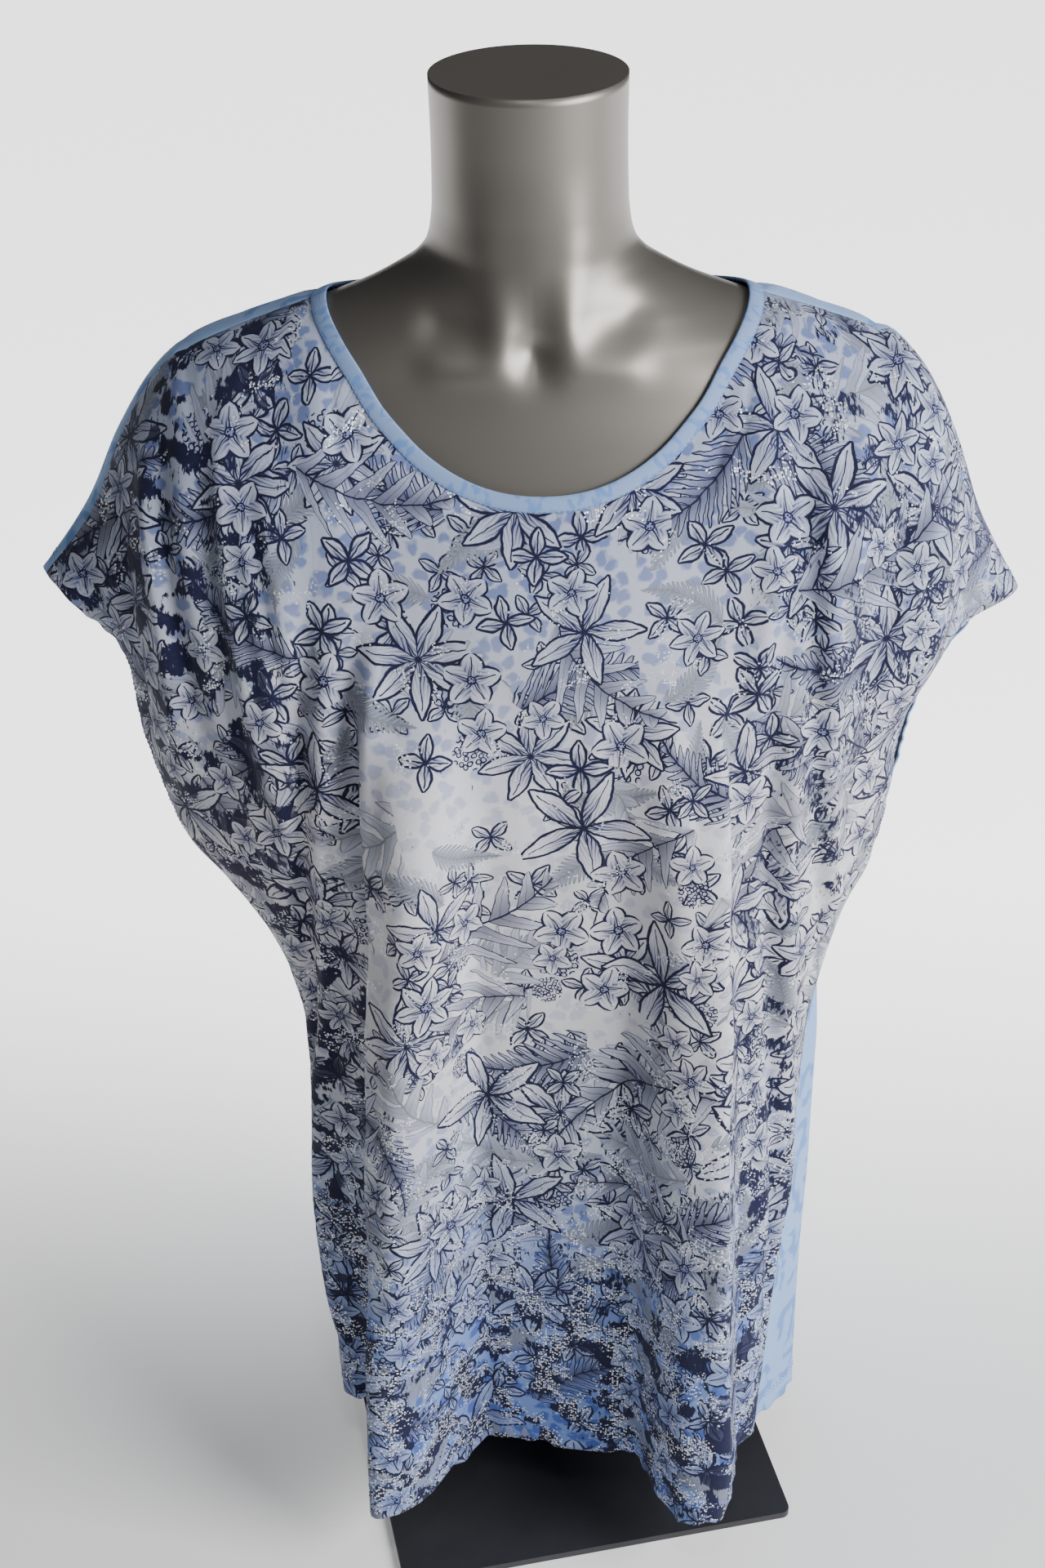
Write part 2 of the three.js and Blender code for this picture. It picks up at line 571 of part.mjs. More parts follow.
function panelGeometry(panel, us, arcs, hang) {
  const { rows, tops } = panelRows(panel, us, arcs, hang);
  const levels = [...arcs.map(() => Infinity), ...hang];
  // Side seams: each panel stops half a gap short of the seam line.
  rows.forEach((row, r) => {
    if (levels[r] > underarmHeight) return;
    row[0].y += panel.side * seamGap * 0.85;
    row[row.length - 1].y += panel.side * seamGap * 0.85;
  });
  return wallGeometry(rows, rowNormals(panel, rows, tops, levels), clothWall);
}

// ---------------------------------------------------------------- neck binding

// A flat ring that lies on the form inside the neckline. Its stations are the panels' own columns.
function bandGeometry(stations) {
  const rings = stations.map((turn) => {
    const { p, normal, away } = neckFrame(turn);
    const edge = clearOfForm(p.clone().addScaledVector(away, -bandWidth), restGap + clothWall + 0.3, true);
    const edgeNormal = formNormal(edge).normalize();
    return [
      p.clone(),
      p.clone().addScaledVector(away, -bandWidth * 0.2).addScaledVector(normal, bandWall - clothWall),
      edge.clone().addScaledVector(edgeNormal, bandWall - clothWall),
      edge.clone().addScaledVector(edgeNormal, -clothWall),
      p.clone().addScaledVector(normal, -clothWall),
    ];
  });
  return solidOfRings(rings, true);
}

// ---------------------------------------------------------------- stand

function plateGeometry() {
  const half = plate.side / 2;
  const inset = half - plate.corner;
  const outline = new THREE.Shape();
  outline.moveTo(-inset, -half);
  outline.lineTo(inset, -half);
  outline.absarc(inset, -inset, plate.corner, -PI / 2, 0);
  outline.lineTo(half, inset);
  outline.absarc(inset, inset, plate.corner, 0, PI / 2);
  outline.lineTo(-inset, half);
  outline.absarc(-inset, inset, plate.corner, PI / 2, PI);
  outline.lineTo(-half, -inset);
  outline.absarc(-inset, -inset, plate.corner, PI, 1.5 * PI);
  return new THREE.ExtrudeGeometry(outline, { depth: plate.thick, bevelEnabled: false, curveSegments: 4 });
}

// ---------------------------------------------------------------- the part

const cloth = (color) => new THREE.MeshStandardMaterial({ color, roughness: 0.9, metalness: 0 });
const group = new THREE.Group();
function add(name, geometry, material) {
  const mesh = new THREE.Mesh(geometry, material);
  mesh.name = name;
  group.add(mesh);
  return mesh;
}

const arcs = [0, 0.03, 0.07, 0.12, 0.18, 0.26, 0.35, 0.46, 0.58, 0.7, 0.84];
const levels = [604, 574, 546, 520, 495, 470, 446, 420, 392, 360, 320, 275, 230, 185, 140, 98, 58];
const frontPlaces = columnPlaces(26, 12);
const backPlaces = columnPlaces(22, 12);
add("front_panel", panelGeometry(panels.front, frontPlaces, arcs, levels), cloth(0xaab4d6));
add("back_panel", panelGeometry(panels.back, backPlaces, arcs, levels), cloth(0x9db8e2));

const inNeckline = (places) => places.filter((u) => abs(u) < neckShare + 1e-6);
const frontTurns = inNeckline(frontPlaces).map((u) => neckTurn(panels.front, u)).reverse();
const backTurns = inNeckline(backPlaces).slice(1, -1).map((u) => neckTurn(panels.back, u));
add("neckband", bandGeometry([...frontTurns, ...backTurns]), cloth(0x93b0dc));
add("display_form", formGeometry(), new THREE.MeshStandardMaterial({ color: 0x8d8882, roughness: 0.35, metalness: 0.6 }));

const steel = new THREE.MeshStandardMaterial({ color: 0x2b2b2d, roughness: 0.5, metalness: 0.4 });
add("base_plate", plateGeometry(), steel).rotation.z = plate.turn;
const postLength = formBottom - plate.thick - 2 * seamGap;
const postGeometry = new THREE.CylinderGeometry(post.radius, post.radius, postLength, post.sides);
const postMesh = add("post", postGeometry, steel);
postMesh.rotation.x = PI / 2;
postMesh.position.set(0, 0, plate.thick + seamGap + postLength / 2);

// Everything so far but the plate and post is drawn round the form's own middle.
group.children
  .filter((mesh) => mesh.name !== "base_plate" && mesh.name !== "post")
  .forEach((mesh) => mesh.position.set(formStands.x, formStands.y, 0));

export default group;
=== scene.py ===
# %% [markdown]
# # A jersey blouse on a display form
# The blouse is cut from two flat pieces of printed viscose jersey, a front and a back, with a narrow binding
# round the neck. It hangs on a limbless display form that stands on a square steel plate. The cloth is a thin
# shell whose shape is worked out with the same tables and the same formulas as the solids that it covers,
# so that both hold the same folds. All tables are in millimetres, and the shift to the frame comes last.

# %% Frame
import math
from functools import partial

import bpy
import numpy as np
from mathutils import Matrix, Vector


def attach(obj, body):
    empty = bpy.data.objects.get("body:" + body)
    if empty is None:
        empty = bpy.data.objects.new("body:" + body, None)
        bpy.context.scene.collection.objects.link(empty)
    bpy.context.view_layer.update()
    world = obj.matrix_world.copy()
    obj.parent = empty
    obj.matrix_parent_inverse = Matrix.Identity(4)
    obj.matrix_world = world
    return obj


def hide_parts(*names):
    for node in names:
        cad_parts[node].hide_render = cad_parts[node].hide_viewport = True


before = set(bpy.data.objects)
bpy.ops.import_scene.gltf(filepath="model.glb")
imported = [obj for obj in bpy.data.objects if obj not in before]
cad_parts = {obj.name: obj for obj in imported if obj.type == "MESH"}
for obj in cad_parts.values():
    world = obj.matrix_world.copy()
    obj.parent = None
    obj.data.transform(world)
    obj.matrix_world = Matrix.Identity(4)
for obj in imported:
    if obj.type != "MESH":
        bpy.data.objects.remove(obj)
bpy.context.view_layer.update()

# %% [markdown]
# ## Camera
# A lens of about 57 mm on a full frame, well above the shoulders and tipped down by 31.9 degrees. The small
# turn about its own axis is the lean of a hand-held camera.

# %% Camera
TIPPED_DOWN, LEAN = 31.9, -1.2  # degrees
lens = bpy.data.cameras.new("camera")
lens.lens, lens.sensor_width, lens.clip_start, lens.clip_end = 57.375, 36.0, 0.05, 60.0
camera = bpy.data.objects.new("camera", lens)
bpy.context.scene.collection.objects.link(camera)
look = Matrix.Rotation(math.radians(90 - TIPPED_DOWN), 4, "X") @ Matrix.Rotation(math.radians(LEAN), 4, "Z")
camera.matrix_world = Matrix.Translation((-0.0148, -1.2701, 1.3122)) @ look
bpy.context.scene.camera = camera
print("camera at", tuple(round(c, 4) for c in camera.location))

# %% [markdown]
# ## Sizes
# These are the numbers that the solids are made from. A table has one row for each height or place, and
# `curve` turns two of its columns into a smooth function.

# %% Sizes
MM = 0.001
CLOTH_WALL = 1.5  # the solid's wall; the shell that shows is thinner
REST_GAP = 1.1  # from the form to the cloth
CLEAR = REST_GAP + CLOTH_WALL
HEM_HEIGHT, UNDERARM, CHEST = 58.0, 470.0, 604.0
BAND_WIDTH = 8.5
NECK = {"x": 3, "y": 12, "half": 123, "front": 93, "back": 74, "front_power": 2.15, "back_power": 2.4}
NECK_SHARE = 0.44  # of a panel's half width, where the neckline gives way to the shoulder seam
SIDE_START = 118.0  # a place on a section is its x up to here
SIDE_PLACES = 100  # and grows by this on the rest of the way to the seam
FORM_STANDS = np.array([-4.0, 16.0, 0.0])  # from the tables' origin to the frame's
STEP = 0.02  # of a turn or a share, for slopes along a line

# height, half width, front, back, ridge line, roundness
FORM = np.array([
    (938, 53, -31, 71, 20, 2), (905, 52.5, -31, 70, 20, 2), (872, 53, -33, 71, 19, 2),
    (858, 54.5, -35, 72, 17, 1.95), (850, 57, -36.5, 72, 15, 1.85), (842, 64, -38, 71, 13, 1.78),
    (833, 80, -40, 70, 12, 1.68), (825, 98, -42, 71, 11, 1.65), (817, 120, -45, 74, 11, 1.65),
    (804, 158, -50, 82, 11, 1.7), (790, 191, -55, 91, 11, 1.8), (779, 202, -59, 99, 11, 1.85),
    (762, 207, -66, 103, 11, 2), (735, 206, -77, 108, 11, 2.1), (700, 196, -90, 111, 11, 2.15),
    (650, 178, -104, 108, 9, 2.2), (600, 163, -103, 100, 6, 2.2), (520, 138, -88, 84, 2, 2.2),
    (440, 118, -80, 74, 0, 2.2), (360, 132, -86, 92, 2, 2.2), (290, 143, -90, 104, 4, 2.2),
    (235, 143, -86, 102, 4, 2.2), (205, 138, -80, 96, 4, 2.2)])

# share of the shoulder seam, then x, y, z and tilt on the left, and the same on the right
SHOULDER = np.array([
    (0, -120.6, 12, 820, 0, 126.6, 12, 820, 0), (0.22, -162, 10, 807, 2, 161, 13, 808, 0),
    (0.42, -197, 6, 791, 8, 199, 16, 792, -6), (0.52, -213, 3, 775, 12, 217, 17, 772, -9),
    (0.65, -230, -2, 747, 18, 231, 18, 744, -12), (0.82, -249, -8, 706, 26, 250, 18, 691, -15),
    (1, -279, -13, 668, 32, 280, 17, 633, -18)])

# From the underarm down both panels end on the same side seams: height, left x, left y, right x, right y
SIDE_SEAMS = [(470, -198, -3, 202, -5), (440, -176, -1, 188, -9), (405, -159, 0, 176, -16),
              (365, -149, -1, 166, -28), (290, -149, -4, 157, -54), (222, -151, -8, 150, -70),
              (140, -147, -16, 143, -82), (58, -138, -28, 135, -92)]


def sections(sleeve, hanging):
    """The rows of a panel's sleeve, and below them the side seams with the shape of each hanging section."""
    return np.array(sleeve + [seam + shape for seam, shape in zip(SIDE_SEAMS, hanging)])


# height, left x, left y, right x, right y, how far the section stands out, roundness
FRONT_SECTIONS = sections(
    [(604, -236, -16, 232, -12, 99, 2), (574, -233, -20, 216, -20, 97, 1.9),
     (546, -226, -24, 210, -22, 94, 1.85), (504, -216, -18, 206, -17, 96, 1.85)],
    [(108, 1.95), (106, 2.1), (101, 2.3), (94, 2.5), (79, 2.5), (68, 2.5), (56, 2.5), (44, 2.5)])
BACK_SECTIONS = sections(
    [(604, -247, 20, 256, 22, 88, 2), (574, -238, 26, 238, 26, 85, 1.95),
     (546, -230, 28, 227, 27, 82, 1.9), (504, -217, 18, 217, 18, 87, 1.9)],
    [(104, 1.95), (107, 2.1), (112, 2.3), (119, 2.4), (124, 2.4), (124, 2.4), (122, 2.4), (120, 2.4)])

# height, flat width of the front and of the back
CUT = np.array([(604, 556, 590), (546, 556, 574), (470, 558, 562), (350, 542, 545), (58, 538, 538)])

# top height, place at the top, place at the hem, half width, share at the top, share at the hem, lean
FRONT_FLUTES = [(660, -70, -77, 35, 1, 1.45, -0.06), (650, 78, 88, 36, 1, 1, 0.1),
                (560, -158, -160, 30, 0.12, 0.12, 0)]
BACK_FLUTES = [(700, -92, -96, 50, 1, 1, -0.1), (640, 4, 2, 44, 0.55, 0.9, 0.1),
               (700, 90, 96, 48, 0.95, 0.8, 0.1), (440, 172, 168, 48, 0.05, 0.85, 0)]

# Soft ridges and troughs along a line in front view: top x, top z, end x, end z, half width, rise
FRONT_CREASES = [(-150, 780, -138, 500, 15, 5), (-180, 760, -166, 480, 15, -4.5),
                 (-212, 752, -200, 520, 14, 4.5), (164, 780, 150, 490, 15, 5),
                 (194, 758, 182, 490, 15, -4.5), (222, 745, 212, 560, 14, 5)]
BACK_CREASES = [(-150, 770, -120, 540, 18, 4), (-190, 750, -170, 520, 18, -4),
                (150, 770, 122, 540, 18, 4), (192, 750, 172, 520, 18, -4)]


def smooth(t):
    """0 below 0, 1 above 1, and 3t^2 - 2t^3 between them."""
    t = np.clip(t, 0, 1)
    return t * t * (3 - 2 * t)


def lerp(a, b, t):
    """a plus t times the way from a to b."""
    return a + (b - a) * t


def unit(v):
    """Vectors of length 1."""
    return v / np.maximum(np.linalg.norm(v, axis=-1, keepdims=True), 1e-12)


def hermite(t):
    """A cubic's weights: 2t^3 - 3t^2 + 1 for its start, then for its first and for its last slope."""
    return 2 * t**3 - 3 * t**2 + 1, t**3 - 2 * t**2 + t, t**3 - t**2


def rounded(c, power):
    """sign(c) |c|^power: with c a cosine or a sine, a superellipse's coordinate."""
    return np.sign(c) * np.abs(c) ** power


def curve(keys, values):
    """A cubic through the rows that never overshoots them: the slope at a row is the harmonic mean of the
    slopes on its two sides, or 0 where they point different ways."""
    order = np.argsort(keys)
    x, y = np.asarray(keys, float)[order], np.asarray(values, float)[order]
    rise = np.diff(y) / np.diff(x)
    both, total = rise[:-1] * rise[1:], rise[:-1] + rise[1:]
    inner = np.where(both > 0, 2 * both / np.where(total == 0, 1, total), 0)
    slope = np.concatenate([rise[:1], inner, rise[-1:]])

    def at(here):
        here = np.clip(here, x[0], x[-1])
        i = np.clip(np.searchsorted(x, here, side="right") - 1, 0, len(x) - 2)
        step = x[i + 1] - x[i]
        a, b, c = hermite((here - x[i]) / step)
        return a * y[i] + b * step * slope[i] + (1 - a) * y[i + 1] + c * step * slope[i + 1]

    return at


print("tables:", len(FORM), "form rows,", len(FRONT_SECTIONS) + len(BACK_SECTIONS), "panel rows")

# %% [markdown]
# ## The form's surface
# Every level of the form is a superellipse, |x / a|^n + |y / b|^n = 1. The same formula also says how far any
# point in space is from the form, and that is what keeps the cloth off it.

# %% Form field
form_half, form_front, form_back, form_ridge, form_power = (
    curve(FORM[:, 0], FORM[:, k]) for k in range(1, 6))


def form_field(p):
    """(superellipse ratio - 1) times the smaller half axis: above 0 outside, below 0 inside, about mm."""
    x, y, z = p[..., 0], p[..., 1], p[..., 2]
    ridge, half, n = form_ridge(z), form_half(z), form_power(z)
    deep = np.where(y < ridge, ridge - form_front(z), form_back(z) - ridge)
    ratio = ((np.abs(x) / half) ** n + (np.abs(y - ridge) / deep) ** n) ** (1 / n)
    return (ratio - 1) * np.minimum(half, deep)


def form_slope(p):
    """The field's gradient, from central differences of 0.5 mm."""
    steps = np.eye(3) * 0.5
    return np.stack([form_field(p + step) - form_field(p - step) for step in steps], -1)


def clear_of_form(p, gap, exact=False):
    """Points moved straight away from the form until they are at least gap clear; exact also pulls in."""
    for _ in range(6):
        slope = form_slope(p)
        short = gap - form_field(p) / np.linalg.norm(slope, axis=-1)
        short = short if exact else np.maximum(short, 0)
        p = p + unit(slope) * (short * 0.9)[..., None]
    return p


def on_form(x, y, gap):
    """The points straight above or below (x, y) on the shoulders, gap clear of them, by halving."""
    low, high = np.full(np.shape(x), 640.0), np.full(np.shape(x), 870.0)
    for _ in range(30):
        p = np.stack([x, y, (low + high) / 2], -1)
        inside = form_field(p) / np.linalg.norm(form_slope(p), axis=-1) < gap
        low, high = np.where(inside, p[..., 2], low), np.where(inside, high, p[..., 2])
    return clear_of_form(np.stack([x, y, (low + high) / 2], -1), gap, True)


print("form half width at the shoulders, mm:", float(form_half(762.0)))

# %% [markdown]
# ## Neckline and shoulder seams
# The neckline is an oval seen from above, laid on the form. Each shoulder seam leaves it, runs along the
# form's ridge and falls with the sleeve. A frame at each point says which way the cloth faces and leaves.

# %% Neckline and seams
def neckline(turn, gap):
    """The oval's point at a turn: 0 is the right shoulder and a quarter turn the front."""
    c, s = np.cos(turn), np.sin(turn)
    power = np.where(s >= 0, 2 / NECK["front_power"], 2 / NECK["back_power"])
    x = NECK["x"] + NECK["half"] * rounded(c, power)
    y = NECK["y"] + np.where(s >= 0, -NECK["front"], NECK["back"]) * np.abs(s) ** power
    return on_form(x, y, gap)


def neck_frame(turn):
    """Point, outward normal and the way from the neck into the cloth (normal x along)."""
    p = neckline(turn, CLEAR)
    along = unit(neckline(turn + STEP, CLEAR) - neckline(turn - STEP, CLEAR))
    normal = unit(form_slope(p))
    away = unit(np.cross(normal, along))
    hub = np.stack([p[..., 0] - NECK["x"], p[..., 1] - NECK["y"], np.full(turn.shape, -60.0)], -1)
    return p, normal, away * np.sign((away * hub).sum(-1, keepdims=True))


def neck_turn(side, u):
    """The neckline's turn at column u: an even turn with a tenth of an arc sine mixed in."""
    mix = np.clip(u / NECK_SHARE, -1, 1)
    angle = np.pi / 2 * (0.9 * mix + 0.2 / np.pi * np.arcsin(mix))
    return -side * (np.pi / 2 - angle)


shoulder = [curve(SHOULDER[:, 0], SHOULDER[:, k]) for k in range(1, 9)]


def seam_point(right, share):
    """The shoulder seam's point at a share of its length, kept clear of the form."""
    p = np.stack([np.where(right, shoulder[4 + k](share), shoulder[k](share)) for k in range(3)], -1)
    return np.where((share < 0.4)[..., None], clear_of_form(p, CLEAR, True), clear_of_form(p, CLEAR))


def seam_frame(right, share):
    """The cloth's outward normal on the seam, tilted forwards, and the way to the front."""
    ahead, behind = np.minimum(1, share + STEP), np.maximum(0, share - STEP)
    along = unit(seam_point(right, ahead) - seam_point(right, behind))
    tilt = np.radians(np.where(right, shoulder[7](share), shoulder[3](share)))
    up = unit(np.cross(along, np.array([0.0, 1.0, 0.0])))
    up = up * np.sign(up[..., 2:])
    turn = (np.where(right, 1, -1) * tilt)[..., None]
    normal = up * np.cos(turn) + np.cross(along, up) * np.sin(turn)
    forward = unit(np.cross(along, normal))
    return normal, forward * -np.sign(forward[..., 1:2])


print("neckline's lowest point, mm:", neckline(np.array([np.pi / 2]), 0).round(1).tolist())

# %% [markdown]
# ## Level sections with flutes
# Below the chest the cloth hangs free. Each level section starts as a superelliptic arc between the two side
# seams. The panel is cut wider than that arc, so flutes are pushed out along the arc's normals, and deepened
# by halving until the line is as long as the cloth is wide: the folds keep the cloth's real width.

# %% Sections
SAMPLES = 400  # steps along a section
FLUTE_GROWS = 120  # mm below its top at which a flute is full
DEEPEST_FLUTE, HALVINGS = 110.0, 18


def bump(q):
    """(1 - |q|^2.2)^2 inside |q| < 1, else 0."""
    return np.where(np.abs(q) < 1, (1 - np.minimum(np.abs(q), 1) ** 2.2) ** 2, 0)


def bell(t):
    """exp(-t^2)."""
    return np.exp(-(t**2))


def reach_of(lines):
    """Distance along each line from its first point."""
    steps = np.linalg.norm(np.diff(lines, axis=-2), axis=-1)
    return np.concatenate([np.zeros(steps.shape[:-1] + (1,)), np.cumsum(steps, -1)], -1)


def section_lines(side, table, width_column, flutes, z):
    """Lines and places of a panel's sections at heights z; one row of points for each height."""
    z = np.atleast_1d(np.asarray(z, float))
    left_x, left_y, right_x, right_y, deep, power = (curve(table[:, 0], table[:, k])(z) for k in range(1, 7))
    left, right = np.stack([left_x, left_y, z], -1), np.stack([right_x, right_y, z], -1)
    half = np.linalg.norm(right - left, axis=-1) / 2
    across = unit(right - left)
    outwards = np.stack([across[:, 1], -across[:, 0], 0 * z], -1) * -side
    turn = np.pi * (1 - np.arange(SAMPLES + 1) / SAMPLES)
    c, s, n = np.cos(turn)[None], np.abs(np.sin(turn))[None], (2 / power)[:, None]
    base = ((left + right) / 2)[:, None] + across[:, None] * (half[:, None] * rounded(c, n))[..., None]
    base = base + outwards[:, None] * (deep[:, None] * s**n)[..., None]
    reach = reach_of(base)
    x = base[..., 0]
    rows = np.arange(len(z))
    start = reach[rows, np.argmax(x >= -SIDE_START, 1)][:, None]
    stop = reach[rows, np.argmax(x >= SIDE_START, 1)][:, None]
    places = np.clip(x, -SIDE_START, SIDE_START)
    places = np.where(reach < start, -SIDE_START - SIDE_PLACES * (1 - reach / start), places)
    beyond = SIDE_PLACES * (reach - stop) / (reach[:, -1:] - stop)
    places = np.where(reach > stop, SIDE_START + beyond, places)
    ahead = np.concatenate([base[:, 1:], base[:, -1:]], 1)
    behind = np.concatenate([base[:, :1], base[:, :-1]], 1)
    along = unit(ahead - behind)
    normals = np.stack([along[..., 1], -along[..., 0], 0 * x], -1) * -side
    down = np.clip((CHEST - z) / (CHEST - HEM_HEIGHT), 0, 1)
    shapes, leans = [], []
    for top, top_at, hem_at, half_wide, share, hem_share, lean in flutes:
        begin = smooth((top - z) / FLUTE_GROWS) * lerp(share, hem_share, down)
        shapes.append(bump((places - lerp(top_at, hem_at, down)[:, None]) / half_wide) * begin[:, None])
        leans.append(lean)

    def trace(depth):
        """The base line pushed out by each flute's depth, and tipped sideways by lean x depth^2."""
        line = base.copy()
        for shape, lean in zip(shapes, leans):
            out = shape * depth[:, None]
            line += normals * out[..., None]
            line += across[:, None] * (lean * out**2 / np.maximum(depth, 1)[:, None])[..., None]
        return line

    width = curve(CUT[:, 0], CUT[:, width_column])(z)
    shallow, deepest = np.zeros(len(z)), np.full(len(z), DEEPEST_FLUTE)
    for _ in range(HALVINGS):
        depth = (shallow + deepest) / 2
        short = reach_of(trace(depth))[:, -1] < width
        shallow, deepest = np.where(short, depth, shallow), np.where(short, deepest, depth)
    return trace(shallow), places


def along_line(places, line, want):
    """Points of a line at the wanted places."""
    return np.stack([np.interp(want, places, line[:, k]) for k in range(3)], -1)


hem_line, _ = section_lines(-1, FRONT_SECTIONS, 1, FRONT_FLUTES, [HEM_HEIGHT])
print("front hem's length, mm:", round(float(reach_of(hem_line)[0, -1]), 1))

# %% [markdown]
# ## Panels
# Every column of a panel starts at the neckline or the shoulder seam, follows the form to the chest as a
# cubic Hermite curve, and then hangs to the hem from section to section. The grid is fine enough to carry
# creases a centimetre wide. Its rows and columns follow the flat cut.

# %% Panel grid
# spring: the length of a column's first slope; stand: mm that the hanging cloth keeps off the form
PANELS = {
    "front": {"side": -1, "table": FRONT_SECTIONS, "width": 1, "flutes": FRONT_FLUTES,
              "creases": FRONT_CREASES, "spring": 1.05, "stand": 1.8},
    "back": {"side": 1, "table": BACK_SECTIONS, "width": 2, "flutes": BACK_FLUTES,
             "creases": BACK_CREASES, "spring": 1.0, "stand": 2.4},
}


def crease_rise(creases, p):
    """Sum of rise x exp(-(sideways distance / half)^2), faded in at the top and out at the end."""
    total = np.zeros(p.shape[:-1])
    for top_x, top_z, end_x, end_z, half, rise in creases:
        down = (top_z - p[..., 2]) / (top_z - end_z)
        off = (p[..., 0] - lerp(top_x, end_x, down)) / half
        total += rise * bell(off) * smooth(down * 4) * smooth((1 - down) * 3)
    return total


NECK_GAP = 0.36  # between a panel's edge and the middle of the neck seam


def column_places(neck_steps, shoulder_steps):
    """Columns from -1 to 1: even along the shoulders, and closer where the neckline turns up."""
    outer = NECK_SHARE + (1 - NECK_SHARE) * np.arange(shoulder_steps + 1) / shoulder_steps
    even = 2 * np.arange(1, neck_steps) / neck_steps - 1
    inner = NECK_SHARE * (0.75 * even + 0.25 * np.sin(np.pi / 2 * even))
    return np.concatenate([-outer[::-1], inner, outer])


def column_tops(side, u, ends):
    """Point, leaving direction and outward normal at the top of every column."""
    p, neck_normal, away = neck_frame(neck_turn(side, u))
    leave = ends - p
    leave = unit(leave - neck_normal * (leave * neck_normal).sum(-1, keepdims=True))
    p = p + away * NECK_GAP
    share = np.clip((np.abs(u) - NECK_SHARE) / (1 - NECK_SHARE), 0, 1)
    seam_normal, forward = seam_frame(u > 0, share)
    normal = unit(lerp(seam_normal, neck_normal, (1 - smooth(share / 0.15))[:, None]))
    start = seam_point(u > 0, share)
    straight = ends - start
    straight = unit(straight - normal * (straight * normal).sum(-1, keepdims=True))
    seam_leave = unit(lerp(straight, forward * -side, smooth(share / 0.4)[:, None]))
    start = np.where((share < 1e-6)[:, None], p, start)
    on_neck = (np.abs(u) < NECK_SHARE - 1e-6)[:, None]
    return (np.where(on_neck, p, start), np.where(on_neck, leave, seam_leave),
            np.where(on_neck, neck_normal, normal))


FALL = 20  # mm below the chest at which a column's hanging direction is read


def panel_grid(side, table, width, flutes, creases, spring, stand, u, arcs, levels):
    """Outer face as rows of points from the top edge to the hem, and the normals of the top edge."""
    (chest, below), (chest_places, below_places) = section_lines(
        side, table, width, flutes, [CHEST, CHEST - FALL])
    reach = reach_of(chest)
    places = np.interp((u + 1) / 2 * reach[-1], reach, chest_places)
    ends = along_line(chest_places, chest, places)
    falls = (along_line(below_places, below, places) - ends) / FALL
    tops, leave, top_normals = column_tops(side, u, ends)
    far = np.linalg.norm(tops - ends, axis=-1)[None, :, None]
    a, b, c = hermite(np.asarray(arcs)[:, None, None])
    arc_rows = tops * a + leave * (b * far * spring) + ends * (1 - a) + falls * (c * far)
    lines, line_places = section_lines(side, table, width, flutes, levels)
    hang_rows = np.stack([along_line(q, line, places) for q, line in zip(line_places, lines)])
    grid = np.concatenate([arc_rows, hang_rows])
    grow = smooth(np.interp(arcs, [0, 0.03, 0.07, 0.12], [0, 1 / 3, 2 / 3, 1]))
    grow = np.concatenate([grow, np.ones(len(levels))])[:, None]
    edge = smooth(np.minimum(1 - np.abs(u), 0.2) * 8)[None]
    way = unit(grid * [0.4, 1, 0] + [0, -10, 0])
    grid[1:] = (grid + way * (crease_rise(creases, grid) * edge * grow)[..., None])[1:]
    gap = CLEAR + stand * np.broadcast_to(grow, grid.shape[:2])
    grid[1:] = clear_of_form(grid[1:], gap[1:])
    return grid, top_normals


ARCS = np.linspace(0, 1, 66)[:-1] ** 1.12  # rows above the chest, closer together at the seam
LEVELS = np.linspace(CHEST, HEM_HEIGHT, 164)  # rows below it
COLUMNS = column_places(80, 44)
grids = {name: panel_grid(u=COLUMNS, arcs=ARCS, levels=LEVELS, **panel)
         for name, panel in PANELS.items()}
for name, (grid, _) in grids.items():
    print(name, "grid", grid.shape[:2], "low", grid.min((0, 1)).round(1), "high", grid.max((0, 1)).round(1))

# %% [markdown]
# ## The flat cut
# A print lies flat on the cloth before it is sewn, so the pattern needs flat coordinates. A maker would
# flatten the panel with pins; here its grid is laid out roughly and then relaxed until every edge and
# diagonal is nearly as long as on the worn panel. That gives each point its place on the cut, in millimetres
# from the middle and from the hem.

# %% Flattening
COARSE_ROWS, COARSE_COLUMNS = 58, 44
RELAXATIONS, OVERSHOOT = 700, 1.5  # steps, and how much further than the mean move each goes


def spread(grid, axis, count):
    """count evenly spaced rows or columns out of a grid, and their indices."""
    keep = np.linspace(0, grid.shape[axis] - 1, count).round().astype(int)
    return np.take(grid, keep, axis), keep


